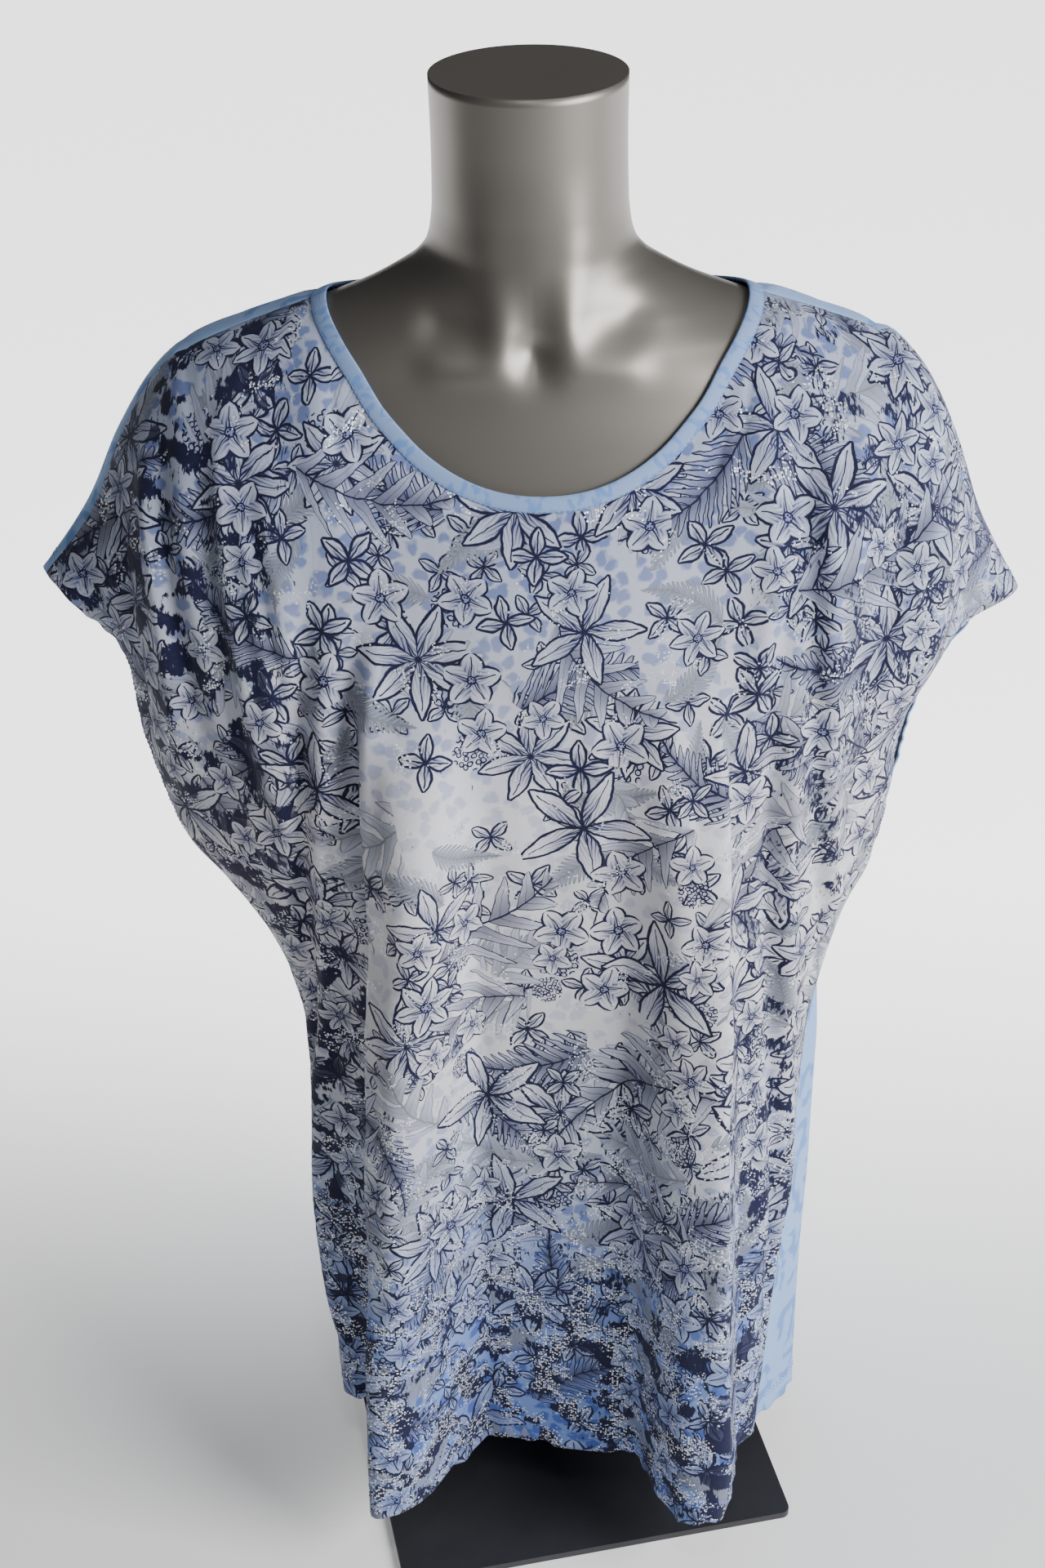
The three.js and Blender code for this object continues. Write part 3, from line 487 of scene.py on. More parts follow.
def flatten(grid):
    """Relaxed flat x and y (mm) of every grid point. An edge moves both its ends by a share of its error."""
    coarse, row_keep = spread(grid, 0, COARSE_ROWS)
    coarse, column_keep = spread(coarse, 1, COARSE_COLUMNS)
    across = np.linalg.norm(np.diff(coarse[..., :2], axis=1), axis=-1)
    x = np.concatenate([np.zeros((len(coarse), 1)), np.cumsum(across, 1)], 1)
    x -= x[:, x.shape[1] // 2, None]
    down = np.linalg.norm(np.diff(coarse, axis=0), axis=-1)
    y = np.concatenate([np.cumsum(down[::-1], 0)[::-1], np.zeros((1, coarse.shape[1]))])
    flat = np.stack([x, y], -1)
    pairs = [(np.s_[:, 1:], np.s_[:, :-1]), (np.s_[1:], np.s_[:-1]),
             (np.s_[1:, 1:], np.s_[:-1, :-1]), (np.s_[1:, :-1], np.s_[:-1, 1:])]
    lengths = [np.linalg.norm(coarse[a] - coarse[b], axis=-1) for a, b in pairs]
    for _ in range(RELAXATIONS):
        move, share = np.zeros_like(flat), np.zeros(flat.shape[:2])
        for (a, b), length in zip(pairs, lengths):
            gap = flat[a] - flat[b]
            now = np.linalg.norm(gap, axis=-1)
            fix = gap * ((now - length) / np.maximum(now, 1e-6) * 0.5)[..., None]
            move[a] -= fix
            move[b] += fix
            share[a] += 1
            share[b] += 1
        flat += move / share[..., None] * OVERSHOOT
    flat -= [0, flat[-1, :, 1].mean()]
    flat -= [(flat[-1, 0, 0] + flat[-1, -1, 0]) / 2, 0]
    rows, cols = np.arange(grid.shape[0]), np.arange(grid.shape[1])
    tall = np.stack([np.stack([np.interp(rows, row_keep, flat[:, j, k]) for j in range(flat.shape[1])], 1)
                     for k in range(2)], -1)
    return np.stack([np.stack([np.interp(cols, column_keep, tall[i, :, k]) for i in range(len(rows))])
                     for k in range(2)], -1)


cuts = {name: flatten(grid) for name, (grid, _) in grids.items()}
for name, cut in cuts.items():
    print(name, "cut from", cut.min((0, 1)).round(0), "to", cut.max((0, 1)).round(0), "mm")

# %% [markdown]
# ## Creases, hems and puckers
# The grid so far is the cloth's large form. Jersey also remembers how it was folded and pulled: long soft
# ridges from the shoulders, sharp folds down the flutes, short drag lines at the arms, a ripple wherever
# thread holds it. Each crease is given as a line on the cut, uneven in width and height, and pushes
# the cloth along its normal. The longest folds bend, so they are given by points.

# %% Crease tables
# On the cut, mm: start x, start y, end x, end y, half width, rise, sideways bow
FINE_FRONT = [
    (-150, 755, -132, 450, 6, 4.2, 5), (-137, 720, -116, 480, 5, -3.6, -4),
    (-172, 740, -152, 440, 7, 3.4, 6), (-205, 750, -200, 500, 6, 4.4, -7),
    (-187, 740, -176, 500, 5, -3.8, 3), (-228, 710, -232, 520, 6, -3.6, -5),
    (-258, 670, -262, 500, 7, 3.2, 6), (150, 755, 146, 500, 7, 3.0, -5),
    (172, 740, 166, 520, 6, -2.6, 4), (205, 745, 212, 540, 6, 4.0, 5),
    (222, 720, 232, 540, 6, -3.0, -4), (262, 665, 262, 540, 8, 2.2, -5),
    (-268, 470, -196, 330, 9, 2.2, 10), (-276, 440, -214, 290, 7, -2.0, 8),
    (270, 480, 196, 340, 8, 2.2, -9), (276, 445, 218, 285, 7, -2.1, -7),
    (-222, 380, -224, 40, 8, -2.0, 7), (-246, 350, -236, 25, 8, 1.8, -5),
    (220, 420, 232, 60, 8, 1.9, -6), (-30, 590, -22, 320, 12, 1.5, 8), (26, 600, 34, 350, 11, -1.3, -8),
    (-8, 430, 6, 120, 13, 1.6, -9), (34, 330, 26, 60, 11, -1.5, 7), (-56, 380, -48, 40, 9, -1.7, -6),
    (60, 600, 66, 420, 9, 1.6, 5), (-66, 610, -70, 440, 9, 1.6, -5), (-84, 400, -92, 120, 7, -1.3, 5),
    (122, 420, 132, 140, 7, -1.3, 5)]
# The long folds: a line's points on the cut (y, x), and the rises beside it (distance from it, half width,
# rise). A trough next to a ridge makes a fold that casts a shadow.
LONG_FOLDS = [
    ([(640, -62), (579, -68), (479, -84), (414, -101), (361, -104), (246, -107), (122, -110), (10, -116)],
     [(-9, 6, -9.0), (5, 7, 5.2)]),
    ([(650, -95), (581, -101), (531, -111), (472, -125), (402, -153), (328, -181), (258, -199), (60, -228)],
     [(-8, 6, -7.0), (5, 7, 4.2)]),
    ([(590, 128), (526, 136), (479, 138), (422, 146), (315, 151), (259, 156), (138, 167), (10, 178)],
     [(0, 7, 5.6), (13, 7, -5.4), (-18, 10, -3.6)]),
    ([(580, 166), (519, 181), (460, 197), (399, 212), (339, 226), (276, 237), (211, 250), (80, 266)],
     [(-6, 6, -6.4), (7, 7, 4.4)]),
    ([(730, 186), (617, 189), (575, 194), (517, 213), (453, 235), (400, 254)], [(-8, 6, -4.2), (3, 7, 4.2)]),
]
LONG_FOLDS_BACK = [
    ([(620, -110), (400, -118), (200, -104), (10, -112)], [(-8, 8, -4.2), (7, 8, 3.6)]),
    ([(600, 92), (400, 104), (200, 118), (10, 124)], [(9, 8, -4.2), (-6, 8, 3.8)]),
    ([(540, -30), (400, -20), (250, -26), (10, -38)], [(0, 11, 2.8), (17, 10, -2.6)]),
    ([(500, 158), (380, 168), (240, 182), (40, 190)], [(0, 8, 3.2), (-13, 8, -3.4)]),
    ([(500, -178), (380, -190), (240, -200), (40, -214)], [(0, 8, 3.2), (13, 8, -3.4)]),
]
FINE_BACK = [
    (-148, 745, -130, 500, 8, 1.8, 5), (-186, 720, -176, 520, 8, -1.7, -5),
    (-225, 690, -226, 540, 8, 1.8, 5), (150, 745, 134, 500, 8, 1.9, -5),
    (188, 715, 180, 520, 8, -1.7, 5), (226, 690, 228, 540, 8, 1.8, -5),
    (-270, 480, -200, 330, 9, 1.8, 9), (272, 485, 204, 330, 9, 1.8, -9),
    (-60, 600, -54, 250, 11, -1.3, 6), (-22, 560, -26, 120, 12, 1.3, -8),
    (44, 590, 52, 220, 11, 1.2, 7), (-150, 430, -146, 40, 10, 1.7, -6),
    (150, 430, 154, 60, 10, -1.6, 6), (206, 390, 204, 40, 9, 1.7, -5),
    (-206, 390, -204, 60, 9, -1.6, 5)]


def fine_rise(table, cut):
    """Sum of rise x exp(-(distance from a bowed line / half width)^2), faded at both ends."""
    total = np.zeros(cut.shape[:-1])
    for x0, y0, x1, y1, half, rise, bow in table:
        way = np.array([x1 - x0, y1 - y0], float)
        long = np.linalg.norm(way)
        way /= long
        share = ((cut - [x0, y0]) @ way) / long
        off = (cut - [x0, y0]) @ np.array([way[1], -way[0]]) - bow * np.sin(np.pi * np.clip(share, 0, 1))
        total += rise * bell(off / half) * smooth(share * 3.5) * smooth((1 - share) * 3)
    return total


def long_rise(folds, cut):
    """Each fold's line is a cubic x(y) through its points; the rises beside it are bells across it, faded at
    both ends."""
    total = np.zeros(cut.shape[:-1])
    for points, rises in folds:
        y, x = np.array(points, float).T
        line = np.polyval(np.polyfit(y / 100, x, 3), np.clip(cut[..., 1], y.min(), y.max()) / 100)
        fade = smooth((y.max() - cut[..., 1]) / 90) * smooth((cut[..., 1] - y.min() + 30) / 60)
        for aside, half, rise in rises:
            total += rise * fade * bell((cut[..., 0] - line - aside) / half)
    return total


def ripples(cut, seed, amount):
    """Twelve long waves with random lengths, 26 to 90 mm across and 5 to 9 times that along the grain."""
    draw = np.random.default_rng(seed)
    total = np.zeros(cut.shape[:-1])
    for _ in range(12):
        across = draw.uniform(26, 90)
        along = across * draw.uniform(5, 9) * draw.choice([-1, 1])
        phase = draw.uniform(0, 2 * np.pi)
        swell = np.sin(2 * np.pi * (cut[..., 1] / draw.uniform(150, 320) + draw.uniform())) * 0.5 + 0.5
        wave = np.sin(2 * np.pi * (cut[..., 0] / across + cut[..., 1] / along) + phase)
        total += amount * across / 60 * swell * wave
    return total


def edge_wave(where, seed, length):
    """A pucker along an edge: a sine of the length named, its phase shifted by four slow sines, 60 to 190 mm
    long."""
    draw = np.random.default_rng(seed)
    drift = sum(draw.uniform(0.5, 1.4) * np.sin(2 * np.pi * (where / draw.uniform(60, 190) + draw.uniform()))
                for _ in range(4))
    return np.sin(2 * np.pi * where / length + drift)


print("creases by hand:", len(FINE_FRONT), "on the front,", len(FINE_BACK), "on the back")

# %% Finished faces
HEM_DEEP, CUFF_DEEP = 18.0, 15.0  # how deep the cloth is turned in
RIPPLE = 0.34
# Puckers: wave length along the edge, height, and reach into the cloth
HEM_PUCKER, SLEEVE_PUCKER, NECK_PUCKER = (19, 1.1, 15), (17, 0.6, 12), (13, 0.35, 9)
HEM_LIFTS, LIFT_REACH = ((74, 2.4), (31, 1.2)), 26  # length and height of the hem's own waves, up and down
SEAM_SWELL, SHOULDER_SWELL, TURNED_SWELL = 0.45, 0.4, 0.35  # what folded allowances add
STITCH_DENT = 0.35
ROUNDINGS = 26  # smoothing steps where the cloth leaves the form


def edges_of(grid, cut):
    """Distances of every point from the top edge, the hem and the nearest side, which side that is, and
    whether the side is open, as it is on the sleeve."""
    down = np.linalg.norm(np.diff(cut, axis=0), axis=-1)
    from_top = np.concatenate([np.zeros((1, grid.shape[1])), np.cumsum(down, 0)])
    row_reach = reach_of(cut)
    from_side = np.minimum(row_reach, row_reach[:, -1:] - row_reach)
    right = row_reach > row_reach[:, -1:] / 2
    open_arm = smooth((grid[:, :1, 2] - UNDERARM) / 12)
    return from_top, from_top[-1:] - from_top, from_side, right, open_arm


def finish_grid(grid, cut, u, side, table, folds, seed):
    """The large form, rounded where it leaves the form, plus creases, ripples, hems and puckers."""
    here = np.arange(len(grid))
    near_chest = smooth((here - len(ARCS) * 0.3) / 14) * smooth((len(ARCS) + 34 - here) / 16)
    for _ in range(ROUNDINGS):
        mean = (grid[:-2, 1:-1] + grid[2:, 1:-1] + grid[1:-1, :-2] + grid[1:-1, 2:]) / 4
        grid[1:-1, 1:-1] += (mean - grid[1:-1, 1:-1]) * (0.5 * near_chest[1:-1])[:, None, None]
    normals = grid_normals(grid, side)
    from_top, from_hem, from_side, right, open_arm = edges_of(grid, cut)
    on_neck = (np.abs(u) < NECK_SHARE)[None]
    seam_side = lerp(smooth(from_side / 14), 1, open_arm)
    seam_top = np.where(on_neck, smooth(from_top / 10), smooth(from_top / 16))
    loose = lerp(0.35, 1, smooth((from_top - 30) / 120))
    rise = fine_rise(table, cut) + long_rise(folds, cut) + ripples(cut, seed, RIPPLE) * loose
    rise *= seam_side * seam_top * smooth((from_hem + 30) / 60)
    rise += SEAM_SWELL * bell((from_side - 5) / 3) * (1 - open_arm)
    rise += np.where(on_neck, 0, SHOULDER_SWELL * bell((from_top - 5) / 3))
    length, high, reach = HEM_PUCKER
    rise += edge_wave(cut[..., 0], seed + 1, length) * high * np.exp(-from_hem / reach) * seam_side
    rise += TURNED_SWELL * smooth((HEM_DEEP - from_hem) / 1.5 + 0.5)
    rise -= STITCH_DENT * bell((from_hem - HEM_DEEP + 1) / 2.2) * seam_side
    length, high, reach = SLEEVE_PUCKER
    arm_wave = edge_wave(cut[..., 1] + 700 * right, seed + 2, length) * np.exp(-from_side / reach)
    rise += arm_wave * lerp(0.35 * smooth(from_side / 8), high, open_arm) * seam_top
    rise += TURNED_SWELL * smooth((CUFF_DEEP - from_side) / 1.5 + 0.5) * open_arm
    rise -= STITCH_DENT * bell((from_side - CUFF_DEEP + 1) / 2.2) * open_arm * seam_top
    length, high, reach = NECK_PUCKER
    neck_wave = edge_wave(cut[..., 0], seed + 3, length) * high * np.exp(-from_top / reach)
    rise += np.where(on_neck, neck_wave * smooth(from_top / 4), 0)
    done = grid + normals * rise[..., None]
    (long_wave, long_high), (short_wave, short_high) = HEM_LIFTS
    lift = long_high * edge_wave(cut[..., 0], seed + 4, long_wave)
    lift = lift + short_high * edge_wave(cut[..., 0], seed + 5, short_wave)
    done[..., 2] += lift * np.exp(-from_hem / LIFT_REACH) * seam_side
    done = clear_of_form(done, REST_GAP + 1.5)
    done[0] = grid[0]
    return done, {"top": from_top, "hem": from_hem, "side": from_side, "open_arm": open_arm}


def grid_normals(grid, side):
    """Unit normals from central differences along rows and columns, turned to face out of the panel."""
    down, across = np.gradient(grid, axis=0), np.gradient(grid, axis=1)
    return unit(np.cross(across, down)) * side


faces, distances = {}, {}
for name, table, folds, seed in (("front", FINE_FRONT, LONG_FOLDS, 11),
                                 ("back", FINE_BACK, LONG_FOLDS_BACK, 41)):
    faces[name], distances[name] = finish_grid(
        grids[name][0].copy(), cuts[name], COLUMNS, PANELS[name]["side"], table, folds, seed)
    moved = np.linalg.norm(faces[name] - grids[name][0], axis=-1)
    print(name, "moved by up to", moved.max().round(1), "mm, mean", moved.mean().round(2))

# %% [markdown]
# ## Making meshes
# A piece is a grid of points, or several, joined into quads. Everything is worked out as whole arrays, moved
# to the frame's place and turned to metres in one step.

# %% Mesh helpers
def make_piece(name, points, quads, triangles=(), uv=None, groups=None):
    """A smooth-shaded closed mesh at the origin, its faces turned outwards if its volume, the sum of
    a . (b x c) / 6 over its triangles, is below 0. uv gives one flat coordinate (mm) to each point or each
    corner, stored in metres, and groups one material number to each face."""
    mesh = bpy.data.meshes.new(name)
    points = (np.asarray(points, float) + FORM_STANDS) * MM
    quads, triangles = np.asarray(quads, int).reshape(-1, 4), np.asarray(triangles, int).reshape(-1, 3)
    fan = np.concatenate([quads[:, :3], quads[:, [0, 2, 3]], triangles])
    a, b, c = (points[fan[:, k]] for k in range(3))
    order = np.arange(quads.size).reshape(-1, 4)
    if (a * np.cross(b, c)).sum() < 0:
        quads, triangles, order = quads[:, ::-1], triangles[:, ::-1], order[:, ::-1]
    corners = np.concatenate([quads.ravel(), triangles.ravel()])
    sizes = np.concatenate([np.full(len(quads), 4), np.full(len(triangles), 3)])
    starts = np.concatenate([[0], np.cumsum(sizes)[:-1]])
    mesh.vertices.add(len(points))
    mesh.vertices.foreach_set("co", points.ravel())
    mesh.loops.add(len(corners))
    mesh.loops.foreach_set("vertex_index", corners)
    mesh.polygons.add(len(sizes))
    mesh.polygons.foreach_set("loop_start", starts)
    mesh.polygons.foreach_set("use_smooth", np.ones(len(sizes), bool))
    if groups is not None:
        mesh.polygons.foreach_set("material_index", np.asarray(groups, int))
    mesh.update(calc_edges=True)
    if uv is not None:
        layer = mesh.uv_layers.new(name="cut")
        flat = np.asarray(uv)[corners if len(uv) == len(points) else order.ravel()]
        layer.data.foreach_set("uv", (flat * MM).ravel())
    mesh.validate()
    piece = bpy.data.objects.new(name, mesh)
    bpy.context.scene.collection.objects.link(piece)
    return piece


def grid_quads(rows, columns, wrap_rows=False, wrap_columns=False):
    """Corner numbers of the quads between neighbouring points of a grid."""
    r = np.arange(rows if wrap_rows else rows - 1)[:, None]
    c = np.arange(columns if wrap_columns else columns - 1)[None]
    a, b = r * columns + c, r * columns + (c + 1) % columns
    below, diagonal = (r + 1) % rows * columns + c, (r + 1) % rows * columns + (c + 1) % columns
    return np.stack([a, below, diagonal, b], -1).reshape(-1, 4)


def tell(piece):
    """Prints a piece's triangles and size."""
    mesh = piece.data
    print(piece.name, sum(len(p.vertices) - 2 for p in mesh.polygons), "triangles,",
          [round(d * 1000) for d in piece.dimensions], "mm")


# %% [markdown]
# ## Display form
# The form is a moulded glass-fibre shell with a sprayed, satin silver lacquer. It is a stack of superellipses
# from the hip to the flat top of the neck, with the collarbones and the notch between them pressed in as soft
# bumps and hollows. A finer grid than the solid's keeps its long highlights clean.

# %% Form piece
FORM_SIDES = 224  # points round each ring
# collarbones and notch: |x|, height, half width, half height, rise
RELIEF = [(0, 806, 12, 13, -6.5), (17, 822, 10, 20, 3.8), (24, 852, 11, 32, 1.8), (52, 820, 20, 9, -3),
          (40, 800, 30, 9, 2.6)]


def form_relief(x, z):
    """Sum of rise x exp(-((|x| - x0) / wide)^2 - ((z - z0) / tall)^2)."""
    return sum(rise * np.exp(-(((np.abs(x) - at_x) / wide) ** 2) - ((z - at_z) / tall) ** 2)
               for at_x, at_z, wide, tall, rise in RELIEF)


def form_rings(levels):
    """One ring of points for each level, with the relief on the front of the neck and chest."""
    z = np.asarray(levels, float)[:, None]
    turn = 2 * np.pi * np.arange(FORM_SIDES) / FORM_SIDES
    c, s, n = np.cos(turn)[None], np.sin(turn)[None], 2 / form_power(z)
    ridge = form_ridge(z)
    deep = np.where(s < 0, ridge - form_front(z), form_back(z) - ridge)
    ring = np.stack([form_half(z) * rounded(c, n), ridge + deep * rounded(s, n), z + 0 * c], -1)
    rise = form_relief(ring[..., 0], z) * smooth(-s * 2) * smooth((70 - np.abs(ring[..., 0])) / 20)
    out = form_slope(ring) * [1, 1, 0]
    return ring + unit(out) * rise[..., None]


form_levels = np.concatenate([np.linspace(205, 600, 60), np.linspace(604, 760, 50)[:-1],
                              np.linspace(760, 872, 96), np.linspace(876, 938, 14)])
rings = form_rings(form_levels)
top, bottom = rings[-1], rings[0]
hub_top, hub_bottom = top.mean(0), bottom.mean(0)
cap = [top + (hub_top - top) * k for k in (0.012, 0.05, 0.45)]
foot = [bottom + (hub_bottom - bottom) * k for k in (0.6, 0.05)]
rings = np.concatenate([foot, rings, cap])
around = np.arange(FORM_SIDES)
ahead = (around + 1) % FORM_SIDES
last = (len(rings) - 1) * FORM_SIDES
points = np.concatenate([rings.reshape(-1, 3), [hub_bottom, hub_top]])
quads = grid_quads(len(rings), FORM_SIDES, wrap_columns=True)[:, ::-1]
fans = np.concatenate([np.stack([0 * around + len(points) - 2, ahead, around], 1),
                       np.stack([0 * around + len(points) - 1, last + around, last + ahead], 1)])
form = make_piece("display_form_shell", points, quads, fans)
tell(form)

# %% [markdown]
# ## Panels as cloth
# A knitted jersey is 0.7 to 1 mm thick. Its outer face lies close to the solid's, and the inner face is the
# same grid moved in along the normals. Between them, one extra row rounds the cut edges.

# %% Cloth shells
JERSEY, TURNED_JERSEY = 1.0, 0.5  # thickness, and what a turned edge adds
EDGE_OUT = 0.35  # share of the thickness by which the edge's middle row stands out


def cloth_shell(name, outer, normals, thick, uv):
    """Outer and inner grids joined by a rounded edge: outer, inner = outer - thick x normal, and an edge row
    between them, pushed out of the cloth."""
    rows, columns = outer.shape[:2]
    inner = outer - normals * thick[..., None]
    number = np.arange(rows * columns).reshape(rows, columns)
    loop = np.concatenate([number[0, :-1], number[:-1, -1], number[-1, :0:-1], number[:0:-1, 0]])
    inside = np.clip(loop // columns, 1, rows - 2) * columns + np.clip(loop % columns, 1, columns - 2)
    flat_outer, flat_inner = outer.reshape(-1, 3), inner.reshape(-1, 3)
    away = unit(flat_outer[loop] - flat_outer[inside])
    edge = (flat_outer[loop] + flat_inner[loop]) / 2 + away * (thick.ravel()[loop] * EDGE_OUT)[:, None]
    points = np.concatenate([flat_outer, flat_inner, edge])
    total, ring = rows * columns, np.arange(len(loop))
    ahead = (ring + 1) % len(loop)
    face = grid_quads(rows, columns)
    rim_out = np.stack([loop, loop[ahead], 2 * total + ahead, 2 * total + ring], 1)
    rim_in = np.stack([2 * total + ring, 2 * total + ahead, total + loop[ahead], total + loop], 1)
    quads = np.concatenate([face, face[:, ::-1] + total, rim_out, rim_in])
    groups = np.concatenate([np.zeros(len(face)), np.ones(len(face)), np.zeros(2 * len(loop))])
    flat = uv.reshape(-1, 2)
    return make_piece(name, points, quads, uv=np.concatenate([flat, flat, flat[loop]]), groups=groups)


panels = {}
for name, grid in faces.items():
    normals = grid_normals(grid, PANELS[name]["side"])
    normals[0] = grids[name][1]
    away = distances[name]
    in_hem = smooth((HEM_DEEP - away["hem"]) / 2)
    in_cuff = smooth((CUFF_DEEP - away["side"]) / 2) * away["open_arm"]
    thick = JERSEY + TURNED_JERSEY * np.maximum(in_hem, in_cuff)
    panels[name] = cloth_shell(name + "_panel_cloth", grid, normals, thick, cuts[name])
    tell(panels[name])

# %% [markdown]
# ## Neck binding
# A bias strip of the back's jersey is folded round the raw neckline and topstitched. Its section is a soft
# pillow, flat where it lies on the form, carried round the neckline as one closed loop.

# %% Binding
BAND_SIDES = 20  # points round the section
BAND_OVERLAP, BAND_LIFT = 0.6, 0.3  # over the panel's edge, and off the form


def binding_rings(turns):
    """Closed rings: a superellipse section, about 9.1 mm wide and 2.15 mm high, on the line between the
    panel's edge and the binding's free edge."""
    p, normal, away = neck_frame(turns)
    edge = clear_of_form(p - away * BAND_WIDTH, CLEAR + BAND_LIFT, True)
    sewn = p + away * BAND_OVERLAP
    middle, half = (sewn + edge) / 2, unit(sewn - edge)
    wide = np.linalg.norm(sewn - edge, axis=-1) / 2
    up = unit(normal - half * (normal * half).sum(-1, keepdims=True))
    turn = 2 * np.pi * np.arange(BAND_SIDES) / BAND_SIDES
    c, s = np.cos(turn), np.sin(turn)
    across = rounded(c, 0.75)
    high = rounded(s, 0.8) * np.where(s > 0, 1.15, 1.0) - 0.25
    return (middle[:, None] + half[:, None] * (across[None] * wide[:, None])[..., None]
            + up[:, None] * high[None, :, None])


band_turns = np.concatenate([neck_turn(-1, np.linspace(NECK_SHARE, -NECK_SHARE, 201)),
                             neck_turn(1, np.linspace(-NECK_SHARE, NECK_SHARE, 161))[1:-1]])
band_rings = binding_rings(band_turns)
band_quads = grid_quads(len(band_rings), BAND_SIDES, wrap_rows=True, wrap_columns=True)
band_reach = reach_of(np.concatenate([band_rings[:, 0], band_rings[:1, 0]]))
strip = np.arange(BAND_SIDES + 1) * 1.1  # mm round the section
band_flat = np.stack(np.meshgrid(band_reach, strip, indexing="ij"), -1).reshape(-1, 2)
band_uv = band_flat[grid_quads(len(band_rings) + 1, BAND_SIDES + 1).ravel()][:, ::-1]
binding = make_piece("neck_binding", band_rings.reshape(-1, 3), band_quads, uv=band_uv)
tell(binding)
print("binding's length, mm:", round(float(band_reach[-1])))

# %% [markdown]
# ## Sewing
# The neck binding is topstitched along its outer edge, and the hem and the sleeve edges are turned up and
# sewn with a twin needle, which shows as two parallel rows of stitches. A stitch is a short thread that rises
# from the cloth, lies on it and dives back, so it is one small spindle, repeated along a path.

# %% Stitches
# from one stitch to the next, its length, and the thread's radius
TOPSTITCH, HEM_STITCH = (3.0, 2.2, 0.28), (3.4, 2.5, 0.27)
TWIN_ROWS = (2.0, 4.6)  # how far the twin rows run below the turned edge
# a spindle's rings: place along the stitch, thickness, and height above the cloth in radii
SPINDLE = np.array([(-0.5, 0.3, -1), (-0.25, 1, 0.3), (0.25, 1, 0.3), (0.5, 0.3, -1)]).T


def stitch_rows(name, rows, pitch, long, radius):
    """Spindles of 5 sides and 4 rings along paths of points and normals."""
    middles, ways, ups = [], [], []
    for path, normals in rows:
        reach = reach_of(path)
        at = np.arange(pitch, reach[-1] - pitch / 2, pitch)
        place, ahead, up = (np.stack([np.interp(where, reach, line[:, k]) for k in range(3)], -1)
                            for where, line in ((at, path), (at + 0.5, path), (at, normals)))
        middles.append(place)
        ways.append(unit(ahead - place))
        ups.append(unit(up))
    middle, way, up = (np.concatenate(part) for part in (middles, ways, ups))
    side = unit(np.cross(way, up))
    turn = 2 * np.pi * np.arange(5) / 5
    shares, thick, lifted = SPINDLE
    ring = (side[:, None, None] * np.cos(turn)[None, None, :, None]
            + up[:, None, None] * np.sin(turn)[None, None, :, None]) * (radius * thick)[None, :, None, None]
    points = (middle[:, None, None] + way[:, None, None] * (long * shares)[None, :, None, None]
              + up[:, None, None] * (radius * lifted)[None, :, None, None] + ring).reshape(-1, 3)
    body = grid_quads(4, 5, wrap_columns=True)
    caps = np.array([(0, 1, 2), (0, 2, 3), (0, 3, 4), (15, 17, 16), (15, 18, 17), (15, 19, 18)])
    shift = (np.arange(len(middle)) * 20)[:, None, None]
    return make_piece(name, points, (body[None] + shift).reshape(-1, 4), (caps[None] + shift).reshape(-1, 3))


def contour(grid, values, level, axis):
    """The points of a grid where values, which rise or fall along one axis, pass a level."""
    lines = np.moveaxis(grid, axis, 0)
    keys = np.moveaxis(values, axis, 0)
    if keys[0, 0] > keys[-1, 0]:
        lines, keys = lines[::-1], keys[::-1]
    return np.stack([[np.interp(level, keys[:, j], lines[:, j, k]) for k in range(3)]
                     for j in range(lines.shape[1])])


def hem_rows(name):
    """Twin rows along the hem and along both sleeve edges, with the cloth's normals."""
    grid, away = faces[name], distances[name]
    normals = grid_normals(grid, PANELS[name]["side"])
    open_rows = np.flatnonzero(away["open_arm"][:, 0] > 0.6)[1:]
    half = grid.shape[1] // 2
    rows = [[contour(field, away["hem"], HEM_DEEP - twin, 0) for field in (grid, normals)]
            for twin in TWIN_ROWS]
    for twin in TWIN_ROWS:
        for part in (np.s_[open_rows, :half], np.s_[open_rows, half + 1:]):
            rows.append([contour(field[part], away["side"][part], CUFF_DEEP - twin, 1)
                         for field in (grid, normals)])
    return rows


closed = np.concatenate([band_rings, band_rings[:1]])
neck_path = closed[:, 2]  # the second point up from the section's sewn edge
neck_up = unit(neck_path - closed.mean(1))
stitches = {"neck": stitch_rows("binding_topstitch", [(neck_path, neck_up)], *TOPSTITCH)}
for name in faces:
    stitches[name] = stitch_rows(name + "_hem_stitches", hem_rows(name), *HEM_STITCH)
for piece in stitches.values():
    tell(piece)
# %% [markdown]
# ## Finishes
# Every finish is a small tree of nodes. Colours are sRGB hex values, turned to linear by one function, and
# one function adds every node. Lengths in the cloth's trees are millimetres, because the cut's coordinates,
# which the meshes carry in metres, are multiplied by 1000 first. Each group and each finish is a recipe: a
# function that is given `add`, which is `node` tied to the tree, and that hands back what the tree ends in.

# %% Material helpers
MATH, VECTOR, RANGE = "ShaderNodeMath", "ShaderNodeVectorMath", "ShaderNodeMapRange"
NOISE, CELLS, SPLIT = "ShaderNodeTexNoise", "ShaderNodeTexVoronoi", "ShaderNodeSeparateXYZ"
MIX, COLOUR = "ShaderNodeMix", {"data_type": "RGBA", "out": 2}
GROUP, FLAT = "ShaderNodeGroup", {"voronoi_dimensions": "2D"}


def linear(hex_colour):
    """sRGB to linear: c / 12.92 below 0.04045, else ((c + 0.055) / 1.055)^2.4."""
    parts = [int(hex_colour[k:k + 2], 16) / 255 for k in (0, 2, 4)]
    return tuple(c / 12.92 if c <= 0.04045 else ((c + 0.055) / 1.055) ** 2.4 for c in parts) + (1.0,)


